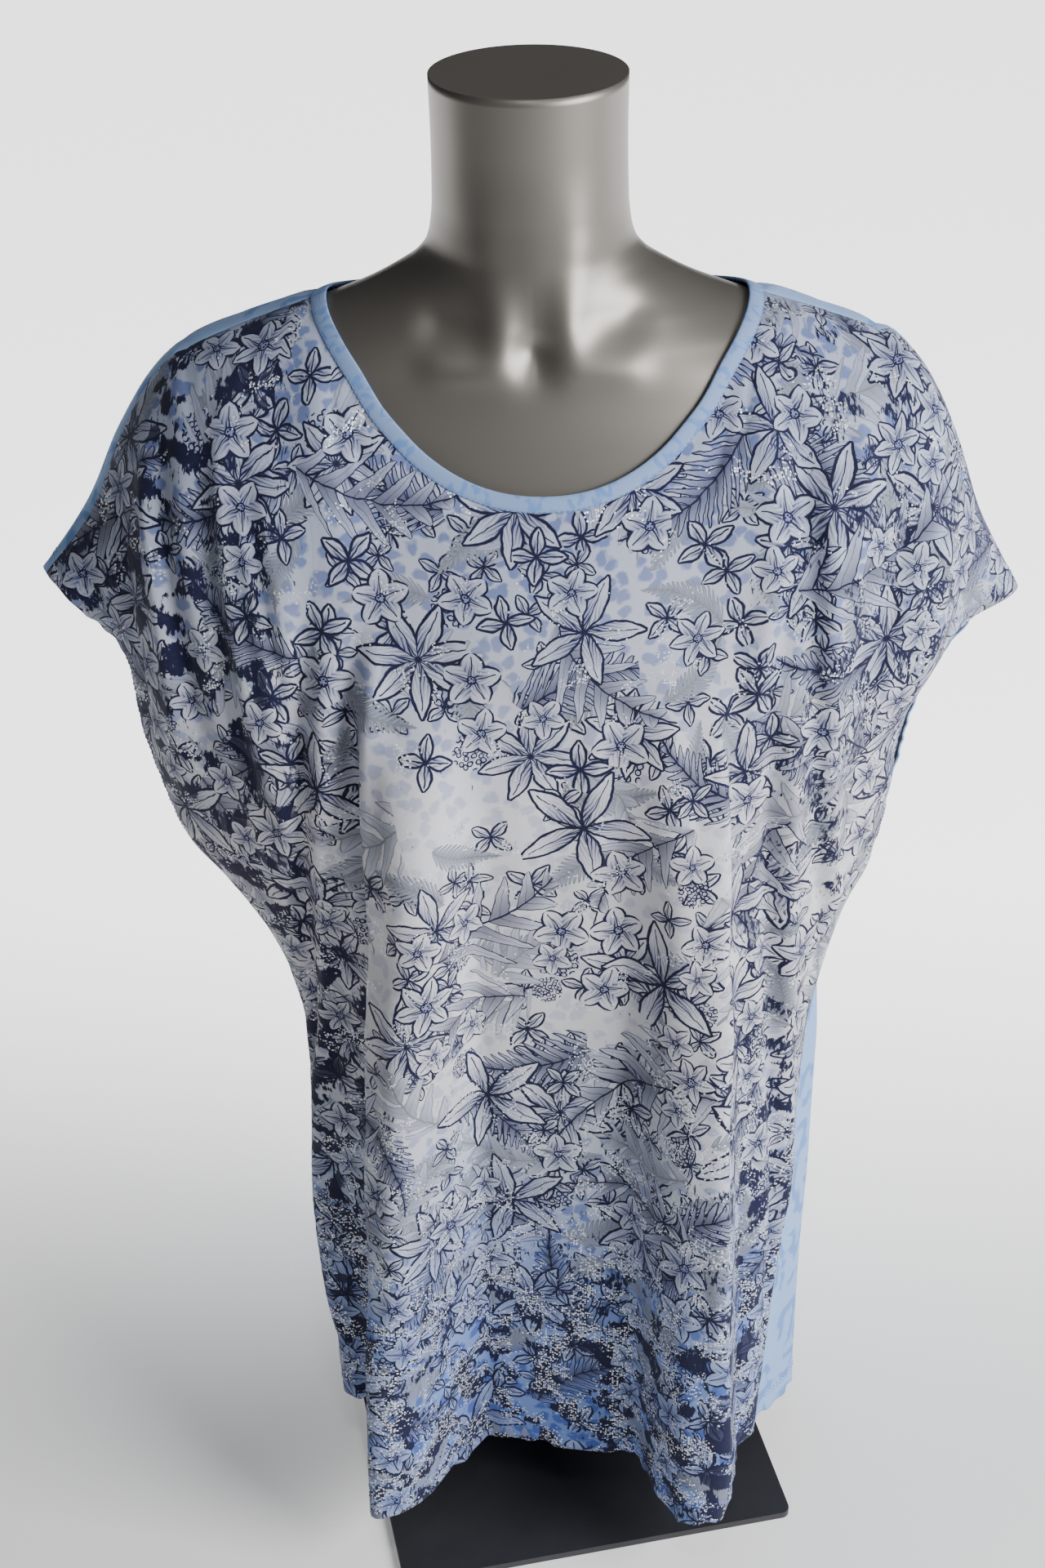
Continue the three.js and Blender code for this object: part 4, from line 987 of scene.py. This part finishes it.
def node(tree, kind, inputs=(), operation=None, out=0, **settings):
    """Adds one node with its settings. inputs is a list in socket order or a dict of sockets; each input is a
    value or the socket that it is linked to. A range takes value, from min, from max, to min and to max; a
    colour mix takes its share at 0 and its colours at 6 and 7."""
    made = tree.nodes.new(kind)
    if operation:
        made.operation = operation
    for name, value in settings.items():
        setattr(made, name, value)
    for name, value in (inputs.items() if isinstance(inputs, dict) else enumerate(inputs)):
        if isinstance(value, bpy.types.NodeSocket):
            tree.links.new(value, made.inputs[name])
        else:
            made.inputs[name].default_value = value
    return made.outputs[out] if made.outputs else made


def make_group(name, outputs, recipe, *sizes):
    """A node group that takes a place and gives the sockets that its recipe works out."""
    tree = bpy.data.node_groups.new(name, "ShaderNodeTree")
    tree.interface.new_socket("Place", in_out="INPUT", socket_type="NodeSocketVector")
    for title in outputs:
        tree.interface.new_socket(title, in_out="OUTPUT", socket_type="NodeSocketFloat")
    place, ends = tree.nodes.new("NodeGroupInput").outputs[0], tree.nodes.new("NodeGroupOutput").inputs
    for made, end in zip(recipe(partial(node, tree), place, *sizes), ends):
        tree.links.new(made, end)
    return tree


def make_finish(name, recipe, *sizes):
    """A material whose Principled shader takes the sockets that its recipe works out."""
    material = bpy.data.materials.new(name)
    material.use_nodes = True
    material.node_tree.nodes.clear()
    add = partial(node, material.node_tree)
    add("ShaderNodeOutputMaterial", [add("ShaderNodeBsdfPrincipled", recipe(add, *sizes))])
    return material


print("sRGB 7d9bd1 is", tuple(round(c, 3) for c in linear("7d9bd1")))

# %% [markdown]
# ## Motifs of the print
# The front is printed with line-drawn plants. Each motif is a group of nodes that takes a place in
# millimetres from the motif's own middle and gives three masks: the ink lines, the blue shading, and the area
# that it covers, so that a motif hides what lies behind it. A whorl folds the plane into equal sectors and
# draws one petal or leaf in each; a frond folds it along a bent stem and draws slanting leaflets.

# %% Motif groups
MASKS = ("Ink", "Shade", "Cover")
SOFT = 0.3  # mm over which a cover's edge fades
LINE_SOFT = 0.35  # mm over which a drawn line's edge fades


def whorl(add, place, count, long, wide, plump, eye, line=0.65):
    """count petals: half width = wide x sin(pi s)^plump at a share s of the length, s = r cos(a) / long,
    where a is the angle from the nearest petal's axis. line is half the outline's width, and eye is the
    radius of the middle, with its ring and stamens."""
    split = add(SPLIT, [place]).node.outputs
    radius = add(VECTOR, [place], "LENGTH", out="Value")
    angle = add(MATH, [split["Y"], split["X"]], "ARCTAN2")
    fold = add(MATH, [angle, math.pi / count], "PINGPONG")
    cosine = add(MATH, [fold], "COSINE")
    sine = add(MATH, [fold], "SINE")
    along = add(MATH, [radius, cosine], "MULTIPLY")
    across = add(MATH, [radius, sine], "MULTIPLY")
    share = add(MATH, [along, long], "DIVIDE", use_clamp=True)
    arch = add(MATH, [add(MATH, [share, math.pi], "MULTIPLY")], "SINE")
    arch = add(MATH, [add(MATH, [arch, 0], "MAXIMUM"), plump], "POWER")
    depth = add(MATH, [add(MATH, [arch, wide], "MULTIPLY"), across], "SUBTRACT")
    cover = add(RANGE, [depth, 0, SOFT])
    off = add(MATH, [depth], "ABSOLUTE")
    outline = add(RANGE, [off, line, line + LINE_SOFT, 1, 0])
    before_tip = add(MATH, [share, 0.995], "LESS_THAN")
    outline = add(MATH, [outline, before_tip], "MULTIPLY")
    rib = add(RANGE, [across, 0.25, 0.6, 1, 0])
    rib = add(MATH, [rib, add(MATH, [share, 0.85], "LESS_THAN")], "MULTIPLY")
    rib = add(MATH, [rib, cover], "MULTIPLY")
    turned = add(MATH, [add(MATH, [angle, count], "MULTIPLY")], "SINE")
    half = add(MATH, [turned, 0], "GREATER_THAN")
    slant = add(MATH, [along, 0.16, across], "MULTIPLY_ADD")
    stripe = add(MATH, [slant, 1.15], "PINGPONG")
    stripe = add(RANGE, [stripe, 0.35, 0.65, 1, 0])
    low = add(RANGE, [share, 0.22, 0.72, 1, 0])
    shade = add(MATH, [add(MATH, [half, 0.6, 0.25], "MULTIPLY_ADD"), low], "MULTIPLY")
    shade = add(MATH, [shade, cover], "MULTIPLY", use_clamp=True)
    hatch = add(MATH, [add(MATH, [stripe, low], "MULTIPLY"),
                       add(MATH, [half, 0.4, 0.6], "MULTIPLY_ADD")], "MULTIPLY")
    hatch = add(MATH, [hatch, cover], "MULTIPLY")
    ink = add(MATH, [add(MATH, [outline, rib], "MAXIMUM"), hatch], "MAXIMUM")
    if eye:
        ring = add(MATH, [add(MATH, [radius, eye], "SUBTRACT")], "ABSOLUTE")
        ring = add(MATH, [ring, 0.5], "LESS_THAN")
        inside = add(MATH, [radius, eye], "LESS_THAN")
        stamens = add(CELLS, {"Vector": place, "Scale": 0.55}, **FLAT)
        stamens = add(MATH, [stamens, 0.35], "LESS_THAN")
        centre = add(MATH, [add(MATH, [stamens, inside], "MULTIPLY"), ring], "MAXIMUM")
        clear = add(MATH, [1, inside], "SUBTRACT")
        ink = add(MATH, [ink, clear, centre], "MULTIPLY_ADD", use_clamp=True)
        shade = add(MATH, [shade, inside], "MAXIMUM")
        cover = add(MATH, [cover, inside], "MAXIMUM")
    return ink, shade, cover


def frond(add, place, long, wide, pitch, bend, fullness, ribs=False):
    """Leaflets on both sides of a stem y = -bend x^2: a leaflet's axis runs where x - 0.9 |y| is a multiple
    of pitch, and it narrows to nothing at the frond's outline, wide x sin(pi s^0.7)."""
    split = add(SPLIT, [place]).node.outputs
    bowed = add(MATH, [add(MATH, [split["X"], split["X"]], "MULTIPLY"), bend, split["Y"]], "MULTIPLY_ADD")
    side = add(MATH, [bowed], "ABSOLUTE")
    share = add(RANGE, [split["X"], -long, long])
    arch = add(MATH, [share, 0.7], "POWER")
    arch = add(MATH, [add(MATH, [arch, math.pi], "MULTIPLY")], "SINE")
    outline = add(MATH, [arch, wide], "MULTIPLY")
    left = add(MATH, [side, add(MATH, [outline, 0.01], "MAXIMUM")], "DIVIDE")
    left = add(MATH, [1, left], "SUBTRACT", use_clamp=True)
    left = add(MATH, [left, 0.6], "POWER")
    axis = add(MATH, [side, -0.9, split["X"]], "MULTIPLY_ADD")
    axis = add(MATH, [axis, pitch / 2], "PINGPONG")
    depth = add(MATH, [add(MATH, [left, fullness * pitch / 2], "MULTIPLY"), axis], "SUBTRACT")
    cover = add(RANGE, [depth, 0, SOFT])
    off = add(MATH, [depth], "ABSOLUTE")
    edge = add(RANGE, [off, 0.3, 0.65, 1, 0])
    edge = add(MATH, [edge, add(MATH, [left, 0.05], "GREATER_THAN")], "MULTIPLY")
    stem = add(RANGE, [side, 0.5, 0.9, 1, 0])
    stem = add(MATH, [stem, add(MATH, [outline, 0.5], "GREATER_THAN")], "MULTIPLY")
    deep = add(RANGE, [left, 0.55, 0.95])
    dark = add(MATH, [deep, cover], "MULTIPLY")
    ink = add(MATH, [add(MATH, [edge, stem], "MAXIMUM"), add(MATH, [dark, 0.6], "MULTIPLY")], "MAXIMUM")
    if ribs:
        rib = add(RANGE, [axis, 0.2, 0.5, 1, 0])
        rib = add(MATH, [add(MATH, [rib, cover], "MULTIPLY"), left], "MULTIPLY")
        ink = add(MATH, [ink, rib], "MAXIMUM")
    return ink, add(MATH, [cover, 0.35 if ribs else 0.7], "MULTIPLY"), cover


def berry_bunch(add, place, wide, cell):
    """Ringed dots, one in each cell of a fine Voronoi pattern, inside a circle of radius wide."""
    radius = add(VECTOR, [place], "LENGTH", out="Value")
    inside = add(MATH, [radius, wide], "LESS_THAN")
    dots = add(CELLS, {"Vector": place, "Scale": 1 / cell, "Randomness": 0.7}, **FLAT)
    ring = add(MATH, [add(MATH, [dots, 0.36], "SUBTRACT")], "ABSOLUTE")
    ring = add(MATH, [add(MATH, [ring, 0.1], "LESS_THAN"), inside], "MULTIPLY")
    disc = add(MATH, [add(MATH, [dots, 0.4], "LESS_THAN"), inside], "MULTIPLY")
    return ring, add(MATH, [disc, 0.5], "MULTIPLY"), disc


# whorls: petals, length, half width, plumpness, eye, line; fronds: half length, width, pitch, bend, fullness
MOTIFS = {name: make_group(name, MASKS, recipe, *sizes) for name, recipe, *sizes in [
    ("blossom", whorl, 5, 17, 6.4, 0.55, 2.6), ("star_blossom", whorl, 6, 21, 5.6, 0.8, 3.2),
    ("leaf_whorl", whorl, 7, 36, 6.2, 0.9, 0, 0.75), ("long_leaves", whorl, 5, 46, 7.5, 0.95, 0, 0.8),
    ("sprig", whorl, 4, 15, 3.4, 0.9, 0, 0.55), ("frond", frond, 44, 20, 6.5, 0.006, 0.9),
    ("fern", frond, 30, 11, 3.6, -0.008, 0.85), ("twig", frond, 46, 25, 15, 0.009, 0.8, True),
    ("bough", frond, 60, 34, 20, -0.005, 0.72, True), ("berries", berry_bunch, 13, 4.6)]}
print("motifs:", ", ".join(MOTIFS))

# %% [markdown]
# ## Front print
# The ground is dip-shaded: pale grey-blue at the shoulders, nearly white over the middle and mid blue towards
# the hem, all with soft spots. Over it lie layers of plants, from sprigs and ferns behind to leaves and
# blossoms in front, with dark combed strokes between some of them for the deep gaps; these strokes are laid
# on thickest at the left edge and the sides as painted shade. Each layer scatters one motif over the cells of
# a Voronoi pattern, turned and scaled at random, and leaves cells empty where the print is open. Silver
# glitter lies on top, thickest near the hem. A pattern's scale is one over its size in millimetres: a noise
# of scale 0.05 makes patches about 20 mm wide.

# %% Scattering
# motif, cell size, shift, smallest and largest scale, how full
FRONT_LAYERS = [
    ("sprig", 27, (11, 5), 0.8, 1.15, 0.8), ("berries", 46, (71, 19), 0.7, 1.1, 0.4),
    ("fern", 54, (-37, 31), 0.75, 1.1, 0.8), ("twig", 84, (23, -61), 0.75, 1.05, 0.9),
    ("frond", 90, (-91, 140), 0.85, 1.15, 0.8), ("leaf_whorl", 80, (5, 47), 0.75, 1.05, 0.7),
    ("bough", 112, (57, 33), 0.75, 1.05, 0.75), ("sprig", 41, (301, 205), 0.9, 1.3, 0.4),
    ("long_leaves", 98, (-53, 13), 0.7, 1.0, 0.6), ("blossom", 43, (61, -29), 0.7, 1.05, 0.55),
    ("star_blossom", 92, (-17, 83), 0.75, 1.05, 0.5)]
GREY_MOTIFS = ("fern", "twig")  # printed in silver-grey, not in indigo
GAPS_BEFORE = (1, 6, 9)  # the layers that dark strokes are drawn behind
WOBBLE = 3.2  # mm by which drawn lines wander, like a brush's
RIB, GLITTER = 1.5, 1.5  # mm: the wave's and the glitter cells' size


def fullness(add, place):
    """How full the print is: sides, shoulders and lower third are dense, the rest comes in patches."""
    split = add(SPLIT, [place]).node.outputs
    side = add(MATH, [split["X"]], "ABSOLUTE")
    side = add(RANGE, [side, 90, 150, 0, 0.95])
    low = add(RANGE, [split["Y"], 330, 230])
    high = add(RANGE, [split["Y"], 600, 680, 0, 0.8])
    patch = add(NOISE, {"Vector": place, "Scale": 0.011, "Detail": 1})
    patch = add(RANGE, [patch, 0.36, 0.5, 0.12, 0.95])
    return [add(MATH, [add(MATH, [side, low], "MAXIMUM"), add(MATH, [high, patch], "MAXIMUM")], "MAXIMUM")]


FULLNESS = make_group("fullness", ["Value"], fullness)


def scatter(add, place, motif, cell, shift, small, big, share):
    """One layer's three masks: Voronoi cells, each with its motif turned by a random angle, kept where the
    cell's random number is below share x the fullness there."""
    moved = add(VECTOR, [place, (*shift, 0)], "ADD")
    cells = add(CELLS, {"Vector": moved, "Scale": 1 / cell, "Randomness": 0.62}, **FLAT).node.outputs
    local = add(VECTOR, [moved, cells["Position"]], "SUBTRACT")
    chance = add("ShaderNodeSeparateColor", [cells["Color"]]).node.outputs
    angle = add(MATH, [chance[0], 2 * math.pi], "MULTIPLY")
    turned = add("ShaderNodeVectorRotate", {"Vector": local, "Angle": angle}, rotation_type="Z_AXIS")
    size = add(RANGE, [chance[1], 0, 1, 1 / big, 1 / small])
    scaled = add(VECTOR, {"Vector": turned, "Scale": size}, "SCALE")
    middle = add(VECTOR, [cells["Position"], (*shift, 0)], "SUBTRACT")
    full = add(GROUP, [middle], node_tree=FULLNESS)
    keep = add(MATH, [full, share], "MULTIPLY")
    keep = add(MATH, [chance[2], keep], "LESS_THAN")
    drawn = add(GROUP, [scaled], node_tree=MOTIFS[motif]).node
    return [add(MATH, [mask, keep], "MULTIPLY") for mask in drawn.outputs]


def cut_place(add):
    """The cut's coordinates in millimetres."""
    return add(VECTOR, {"Vector": add("ShaderNodeUVMap", uv_map="cut"), "Scale": 1000}, "SCALE")


def spots(add, place, cell, low, high):
    """Soft spots: Voronoi cells, bent by noise, that fade out between two distances."""
    bend = add(NOISE, {"Vector": place, "Scale": 1.1 / cell, "Detail": 2}, out="Color")
    bent = add(VECTOR, [bend, (cell, cell, 0), place], "MULTIPLY_ADD")
    return add(RANGE, [add(CELLS, {"Vector": bent, "Scale": 1 / cell}, **FLAT), low, high, 1, 0])


def jersey_bump(add, place, strength):
    """Knit wales as fine upright ribs with uneven yarn. A wave's bands repeat every 0.314 / Scale, so these
    are 0.47 mm apart; a fine jersey's wales are 0.5 to 0.7 mm apart."""
    wales = add("ShaderNodeTexWave", {"Vector": place, "Scale": 1 / RIB, "Distortion": 1.2, "Detail": 1,
                                      "Detail Scale": 0.4}, out="Fac", bands_direction="X")
    slub = add(NOISE, {"Vector": place, "Scale": 0.6, "Detail": 3})
    height = add(MATH, [slub, 0.8, wales], "MULTIPLY_ADD")
    return add("ShaderNodeBump", {"Height": height, "Strength": strength, "Distance": 0.0004})


# %% [markdown]
# ## Materials of the cloth
# The jersey is viscose: dull, with a weak sheen at grazing angles. The front is built up as a printer would
# do it, ground first, then layer on layer, and the glitter last. The back, the binding and the reverse are
# simpler versions of the same cloth.

# %% Jersey
# height on the ground's scale from hem to shoulder, and the ground's colour there
GROUND = [(0, "6a84bf"), (0.17, "7a91c6"), (0.28, "b3b9cb"), (0.42, "cbccd1"), (0.62, "d0d0d5"),
          (0.74, "b6bac9"), (0.86, "a5adc4"), (1, "9fa8c2")]
INDIGO, BLUE, GREY = ("0a0b1e", "171a42"), ("39437f", "5762a0"), ("5d626b", "8d939b")


def between(add, share, colours):
    """A colour that drifts between two hex values."""
    return add(MIX, {0: share, 6: linear(colours[0]), 7: linear(colours[1])}, **COLOUR)


def ground_colour(add, place, ramp):
    """The dip-shaded ground, with spots that are weakest where it is palest."""
    tone = add("ShaderNodeValToRGB", [ramp]).node
    while len(tone.color_ramp.elements) < len(GROUND):
        tone.color_ramp.elements.new(0.5)
    for element, (at, colour) in zip(tone.color_ramp.elements, GROUND):
        element.position, element.color = at, linear(colour)
    paper = tone.outputs[0]
    dark = add(MIX, {0: 1, 6: paper, 7: linear("8d9fd0")}, **COLOUR, blend_type="MULTIPLY")
    spot = spots(add, place, 11, 0.26, 0.42)
    from_middle = add(MATH, [add(MATH, [ramp, 0.52], "SUBTRACT")], "ABSOLUTE")
    strength = add(RANGE, [from_middle, 0.08, 0.3, 0.3, 0.85])
    return paper, add(MIX, {0: add(MATH, [spot, strength], "MULTIPLY"), 6: paper, 7: dark}, **COLOUR)


def gap_depth_and_painted_shade(add, x, y):
    """How dark the gaps between the plants are: none in the middle, more low down and at the right side,
    where the print is dense, and most at the left edge, which is painted shade of the cloth turned away from
    the light.
    """
    low = add(RANGE, [y, 380, 140])
    # painted shade: the left band darkens the cloth beside the left flute, where it turns away from the key
    # light
    left = add(RANGE, [x, -100, -135, 0, 0.8])
    right = add(RANGE, [x, 110, 190, 0, 0.5])
    side = add(MATH, [left, right], "MAXIMUM")
    foot = add(RANGE, [y, 190, 60, 0.08, 0.6])
    deep = add(MATH, [add(MATH, [low, 0.3, foot], "MULTIPLY_ADD"), side], "MAXIMUM")
    return add(MATH, [low, add(MATH, [side, 0.6], "MULTIPLY"), deep], "MULTIPLY_ADD")


def front_jersey(add):
    """Viscose jersey, printed with pigment inks and glitter: dull, with a soft sheen at grazing angles."""
    place = cut_place(add)
    wobble = add(NOISE, {"Vector": place, "Scale": 0.11, "Detail": 2}, out="Color")
    drawn = add(VECTOR, [wobble, (WOBBLE, WOBBLE, 0), place], "MULTIPLY_ADD")
    split = add(SPLIT, [place]).node.outputs
    drift = add(NOISE, {"Vector": place, "Scale": 0.012, "Detail": 3})
    height = add(MATH, [drift, 150, split["Y"]], "MULTIPLY_ADD")
    paper, colour = ground_colour(add, place, add(RANGE, [height, 75, 875]))
    tint = add(NOISE, {"Vector": place, "Scale": 0.05, "Detail": 2})
    indigo, blue = between(add, tint, INDIGO), between(add, tint, BLUE)
    pale = add(MIX, {0: 0.3, 6: paper, 7: linear("c3c8dc")}, **COLOUR)
    # how dark the gaps are: print low down, painted shade at the left edge and the sides
    deep = gap_depth_and_painted_shade(add, split["X"], split["Y"])
    thick = add(NOISE, {"Vector": place, "Scale": 0.05, "Detail": 2})
    thick = add(RANGE, [thick, 0.46, 0.6])
    combed = add("ShaderNodeMapping", {"Vector": drawn, "Rotation": (0, 0, 0.6), "Scale": (0.5, 0.14, 1)})
    strokes = add(NOISE, {"Vector": combed, "Scale": 1, "Detail": 3, "Roughness": 0.65})
    grey = between(add, tint, GREY)
    for number, layer in enumerate(FRONT_LAYERS):
        if number in GAPS_BEFORE:
            gap = add(MATH, [add(MATH, [thick, deep], "MULTIPLY"), 0.5, strokes], "MULTIPLY_ADD")
            gap = add(RANGE, [gap, 0.7, 0.79, 0, 0.9])
            colour = add(MIX, {0: gap, 6: colour, 7: indigo}, **COLOUR)
        ink, shade, cover = scatter(add, drawn, *layer)
        lines = grey if layer[0] in GREY_MOTIFS else indigo
        for mask, share, paint in ((cover, 0.9, pale), (shade, 0.7, blue), (ink, 1, lines)):
            mask = add(MATH, [mask, share], "MULTIPLY")
            colour = add(MIX, {0: mask, 6: colour, 7: paint}, **COLOUR)
    low = add(RANGE, [split["Y"], 420, 120, 0, 0.11])
    patch = add(NOISE, {"Vector": place, "Scale": 0.045, "Detail": 3})
    patch = add(MATH, [patch, low], "ADD")
    patch = add(RANGE, [patch, 0.57, 0.68, 0, 0.6])
    grains = add(CELLS, {"Vector": place, "Scale": 1 / GLITTER}, **FLAT).node.outputs
    chance = add("ShaderNodeSeparateColor", [grains["Color"]]).node.outputs
    grain = add(MATH, [add(MATH, [grains["Distance"], 0.42], "LESS_THAN"),
                       add(MATH, [chance[0], patch], "LESS_THAN")], "MULTIPLY")
    colour = add(MIX, {0: grain, 6: colour, 7: between(add, chance[1], ("9aa3b4", "f4f6fa"))}, **COLOUR)
    rough = add(RANGE, [grain, 0, 1, 0.82, 0.3])
    metal = add(MATH, [grain, 0.25], "MULTIPLY")
    return {"Base Color": colour, "Roughness": rough, "Metallic": metal, "Sheen Weight": 0.06,
            "Sheen Roughness": 0.5, "Specular IOR Level": 0.25, "Normal": jersey_bump(add, place, 0.35)}


def blue_jersey(add, spot_cell, contrast, bump, colours):
    """The same jersey with one soft blue print of ringed spots, for the back and the neck binding."""
    place = cut_place(add)
    drift = add(NOISE, {"Vector": place, "Scale": 0.01, "Detail": 2})
    ground = between(add, drift, colours)
    outer = spots(add, place, spot_cell, 0.4, 0.47)
    inner = spots(add, place, spot_cell, 0.17, 0.24)
    broken = add(NOISE, {"Vector": place, "Scale": 2.2 / spot_cell, "Detail": 1})
    broken = add(RANGE, [broken, 0.42, 0.5])
    ring = add(MATH, [add(MATH, [outer, inner], "SUBTRACT", use_clamp=True), broken], "MULTIPLY")
    ring = add(MATH, [ring, contrast], "MULTIPLY")
    colour = add(MIX, {0: ring, 6: ground, 7: linear("5f88c8")}, **COLOUR)
    return {"Base Color": colour, "Roughness": 0.82, "Sheen Weight": 0.08, "Sheen Roughness": 0.5,
            "Specular IOR Level": 0.25, "Normal": jersey_bump(add, place, bump)}


def inside_jersey(add):
    """The unprinted side: the knit's own white, with the dyes struck through as pale clouds."""
    place = cut_place(add)
    cloud = add(NOISE, {"Vector": place, "Scale": 0.03, "Detail": 4})
    colour = between(add, add(RANGE, [cloud, 0.35, 0.65]), ("a9b8d8", "cdd6e8"))
    return {"Base Color": colour, "Roughness": 0.9, "Sheen Weight": 0.2, "Specular IOR Level": 0.2,
            "Normal": jersey_bump(add, place, 0.4)}


# %% [markdown]
# ## Materials of the form, the stand and the thread
# These parts carry no cut, so their patterns lie in object space, in metres: a noise of scale 900 has grains
# of about 1 / 900 m, which is 1.1 mm. Real flake, powder and yarn are finer, and are drawn this coarse so
# that they show.

# %% Lacquer, steel, paper and thread
def two_noises(add, fine, coarse, detail):
    """Object space, a fine noise for relief and a coarse one for wear."""
    place = add("ShaderNodeTexCoord", out="Object")
    return [add(NOISE, {"Vector": place, "Scale": scale, "Detail": octaves})
            for scale, octaves in ((fine, 2), (coarse, detail))]


def silver_lacquer(add):
    """Glass-fibre shell under a sprayed silver lacquer: fine metal flake under a satin clear coat."""
    flake, wash = two_noises(add, 900, 6, 2)
    colour = between(add, wash, ("77736d", "84807a"))
    rough = add(RANGE, [wash, 0, 1, 0.4, 0.47])
    bump = add("ShaderNodeBump", {"Height": flake, "Strength": 0.06, "Distance": 0.0002})
    return {"Base Color": colour, "Metallic": 0.75, "Roughness": rough, "Coat Weight": 0.15,
            "Coat Roughness": 0.3, "Normal": bump}


def coated_steel(add, colours):
    """Steel under a black powder coat: a fine orange-peel grain, rubbed a little lighter here and there."""
    peel, rub = two_noises(add, 420, 14, 5)
    colour = between(add, rub, colours)
    rough = add(RANGE, [rub, 0, 1, 0.42, 0.6])
    bump = add("ShaderNodeBump", {"Height": peel, "Strength": 0.25, "Distance": 0.0002})
    return {"Base Color": colour, "Roughness": rough, "Normal": bump}


def glowing_paper_floor(add):
    """Matt studio paper that glows by itself as painted light, more behind the form than in front of it."""
    place = add("ShaderNodeTexCoord", out="Object")
    back = add(SPLIT, [place]).node.outputs["Y"]
    # painted light: the paper's own glow, weak in front of the form and strong behind it
    glow = add(RANGE, [back, -0.1, 0.7, 0.22, 2.4], interpolation_type="SMOOTHSTEP")
    tooth = add(NOISE, {"Vector": place, "Scale": 3, "Detail": 3})
    return {"Base Color": between(add, tooth, ("f1f1f1", "f4f4f4")), "Roughness": 0.95,
            "Specular IOR Level": 0.1, "Emission Color": linear("ffffff"), "Emission Strength": glow}


def thread(add, colour):
    """Spun polyester sewing thread: a dull twist, drawn as flecks of about 0.5 mm."""
    place = add("ShaderNodeTexCoord", out="Object")
    twist = add(NOISE, {"Vector": place, "Scale": 2000, "Detail": 1})
    shade = between(add, twist, (colour, "c3cfe6"))
    shade = add(MIX, {0: 0.8, 6: shade, 7: linear(colour)}, **COLOUR)
    return {"Base Color": shade, "Roughness": 0.7, "Sheen Weight": 0.1}


FINISHES = {key: make_finish(*recipe) for key, *recipe in [
    ("front", "printed_viscose_jersey", front_jersey),
    ("back", "blue_viscose_jersey", blue_jersey, 34, 0.8, 0.35, ("86a8da", "9ab8e2")),
    ("binding", "binding_viscose_jersey", blue_jersey, 13, 0.75, 0.4, ("7892bf", "92abd3")),
    ("inside", "jersey_reverse", inside_jersey), ("lacquer", "satin_silver_lacquer", silver_lacquer),
    ("plate", "black_powder_coat", coated_steel, ("232326", "34343a")),
    ("post", "black_coated_tube", coated_steel, ("26262a", "3a3a40")),
    ("floor", "studio_paper", glowing_paper_floor), ("neck_thread", "neck_sewing_thread", thread, "4f6fb4"),
    ("hem_thread", "hem_sewing_thread", thread, "5b74ad")]}
for name in ("front", "back"):
    panels[name].data.materials.append(FINISHES[name])
    panels[name].data.materials.append(FINISHES["inside"])
binding.data.materials.append(FINISHES["binding"])
form.data.materials.append(FINISHES["lacquer"])
for name, piece in stitches.items():
    piece.data.materials.append(FINISHES["neck_thread" if name == "neck" else "hem_thread"])
for name, finish in (("base_plate", "plate"), ("post", "post")):
    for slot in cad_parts[name].material_slots:
        slot.material = FINISHES[finish]
print("finishes:", len(bpy.data.materials))

# %% [markdown]
# ## What each piece stands for
# Nothing moves, so every piece rides on the one body. The cloth, the binding and the form's shell are shown
# instead of their solids; the plate and the tube are the solids themselves.

# %% Frame links
for piece in (*panels.values(), binding, form, *stitches.values()):
    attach(piece, "root")
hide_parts("front_panel")
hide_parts("back_panel")
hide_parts("neckband")
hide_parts("display_form")


def face_area(points):
    """Area of a grid of points, in square metres, from the cross product of each quad's diagonals."""
    one, two = points[1:, 1:] - points[:-1, :-1], points[1:, :-1] - points[:-1, 1:]
    return float(np.linalg.norm(np.cross(one, two), axis=-1).sum() / 2 * MM * MM)


for name in ("front", "back"):
    size = np.ptp(cuts[name], axis=(0, 1)) * MM
    area = face_area(faces[name])
    print(name, "flat", size.round(3), "area", round(area, 4), "share", round(area / size.prod(), 3))

# %% [markdown]
# ## Studio
# A blouse is shown on pale paper, which glows by itself as painted light, more behind the form than in front
# of it, with one large soft light from the right, which draws the folds, and weak ones from the left, the
# front and above, which keep the shadows open.

# %% Floor and lights
floor_mesh = bpy.data.meshes.new("floor")
floor_mesh.from_pydata([(-9, -6, 0), (9, -6, 0), (9, 12, 0), (-9, 12, 0)], [], [(0, 1, 2, 3)])
floor = bpy.data.objects.new("floor", floor_mesh)
bpy.context.scene.collection.objects.link(floor)
floor_mesh.materials.append(FINISHES["floor"])

# name, place in metres, width and height in metres, watts
LIGHTS = [("key", (1.95, -1.25, 1.6), (1.4, 1.4), 128), ("fill", (-1.7, -1.9, 1.5), (1.6, 1.6), 0.5),
          ("front", (0.02, -1.2, 2.5), (0.22, 0.22), 5.5), ("top", (0.3, 0.6, 2.8), (1.4, 1.0), 5)]
AIM = Vector((0, 0, 0.6))  # every light points at the middle of the blouse
for name, place, size, power in LIGHTS:
    lamp = bpy.data.lights.new(name, "AREA")
    lamp.shape, lamp.size, lamp.size_y, lamp.energy = "RECTANGLE", *size, power
    thing = bpy.data.objects.new(name, lamp)
    bpy.context.scene.collection.objects.link(thing)
    turn = (AIM - Vector(place)).to_track_quat("-Z", "Y").to_matrix().to_4x4()
    thing.matrix_world = Matrix.Translation(place) @ turn

world = bpy.data.worlds.new("studio")
bpy.context.scene.world = world
world.use_nodes = True
world.node_tree.nodes["Background"].inputs["Color"].default_value = linear("eef0f2")
world.node_tree.nodes["Background"].inputs["Strength"].default_value = 0.05
print("lights:", ", ".join(light[0] for light in LIGHTS))
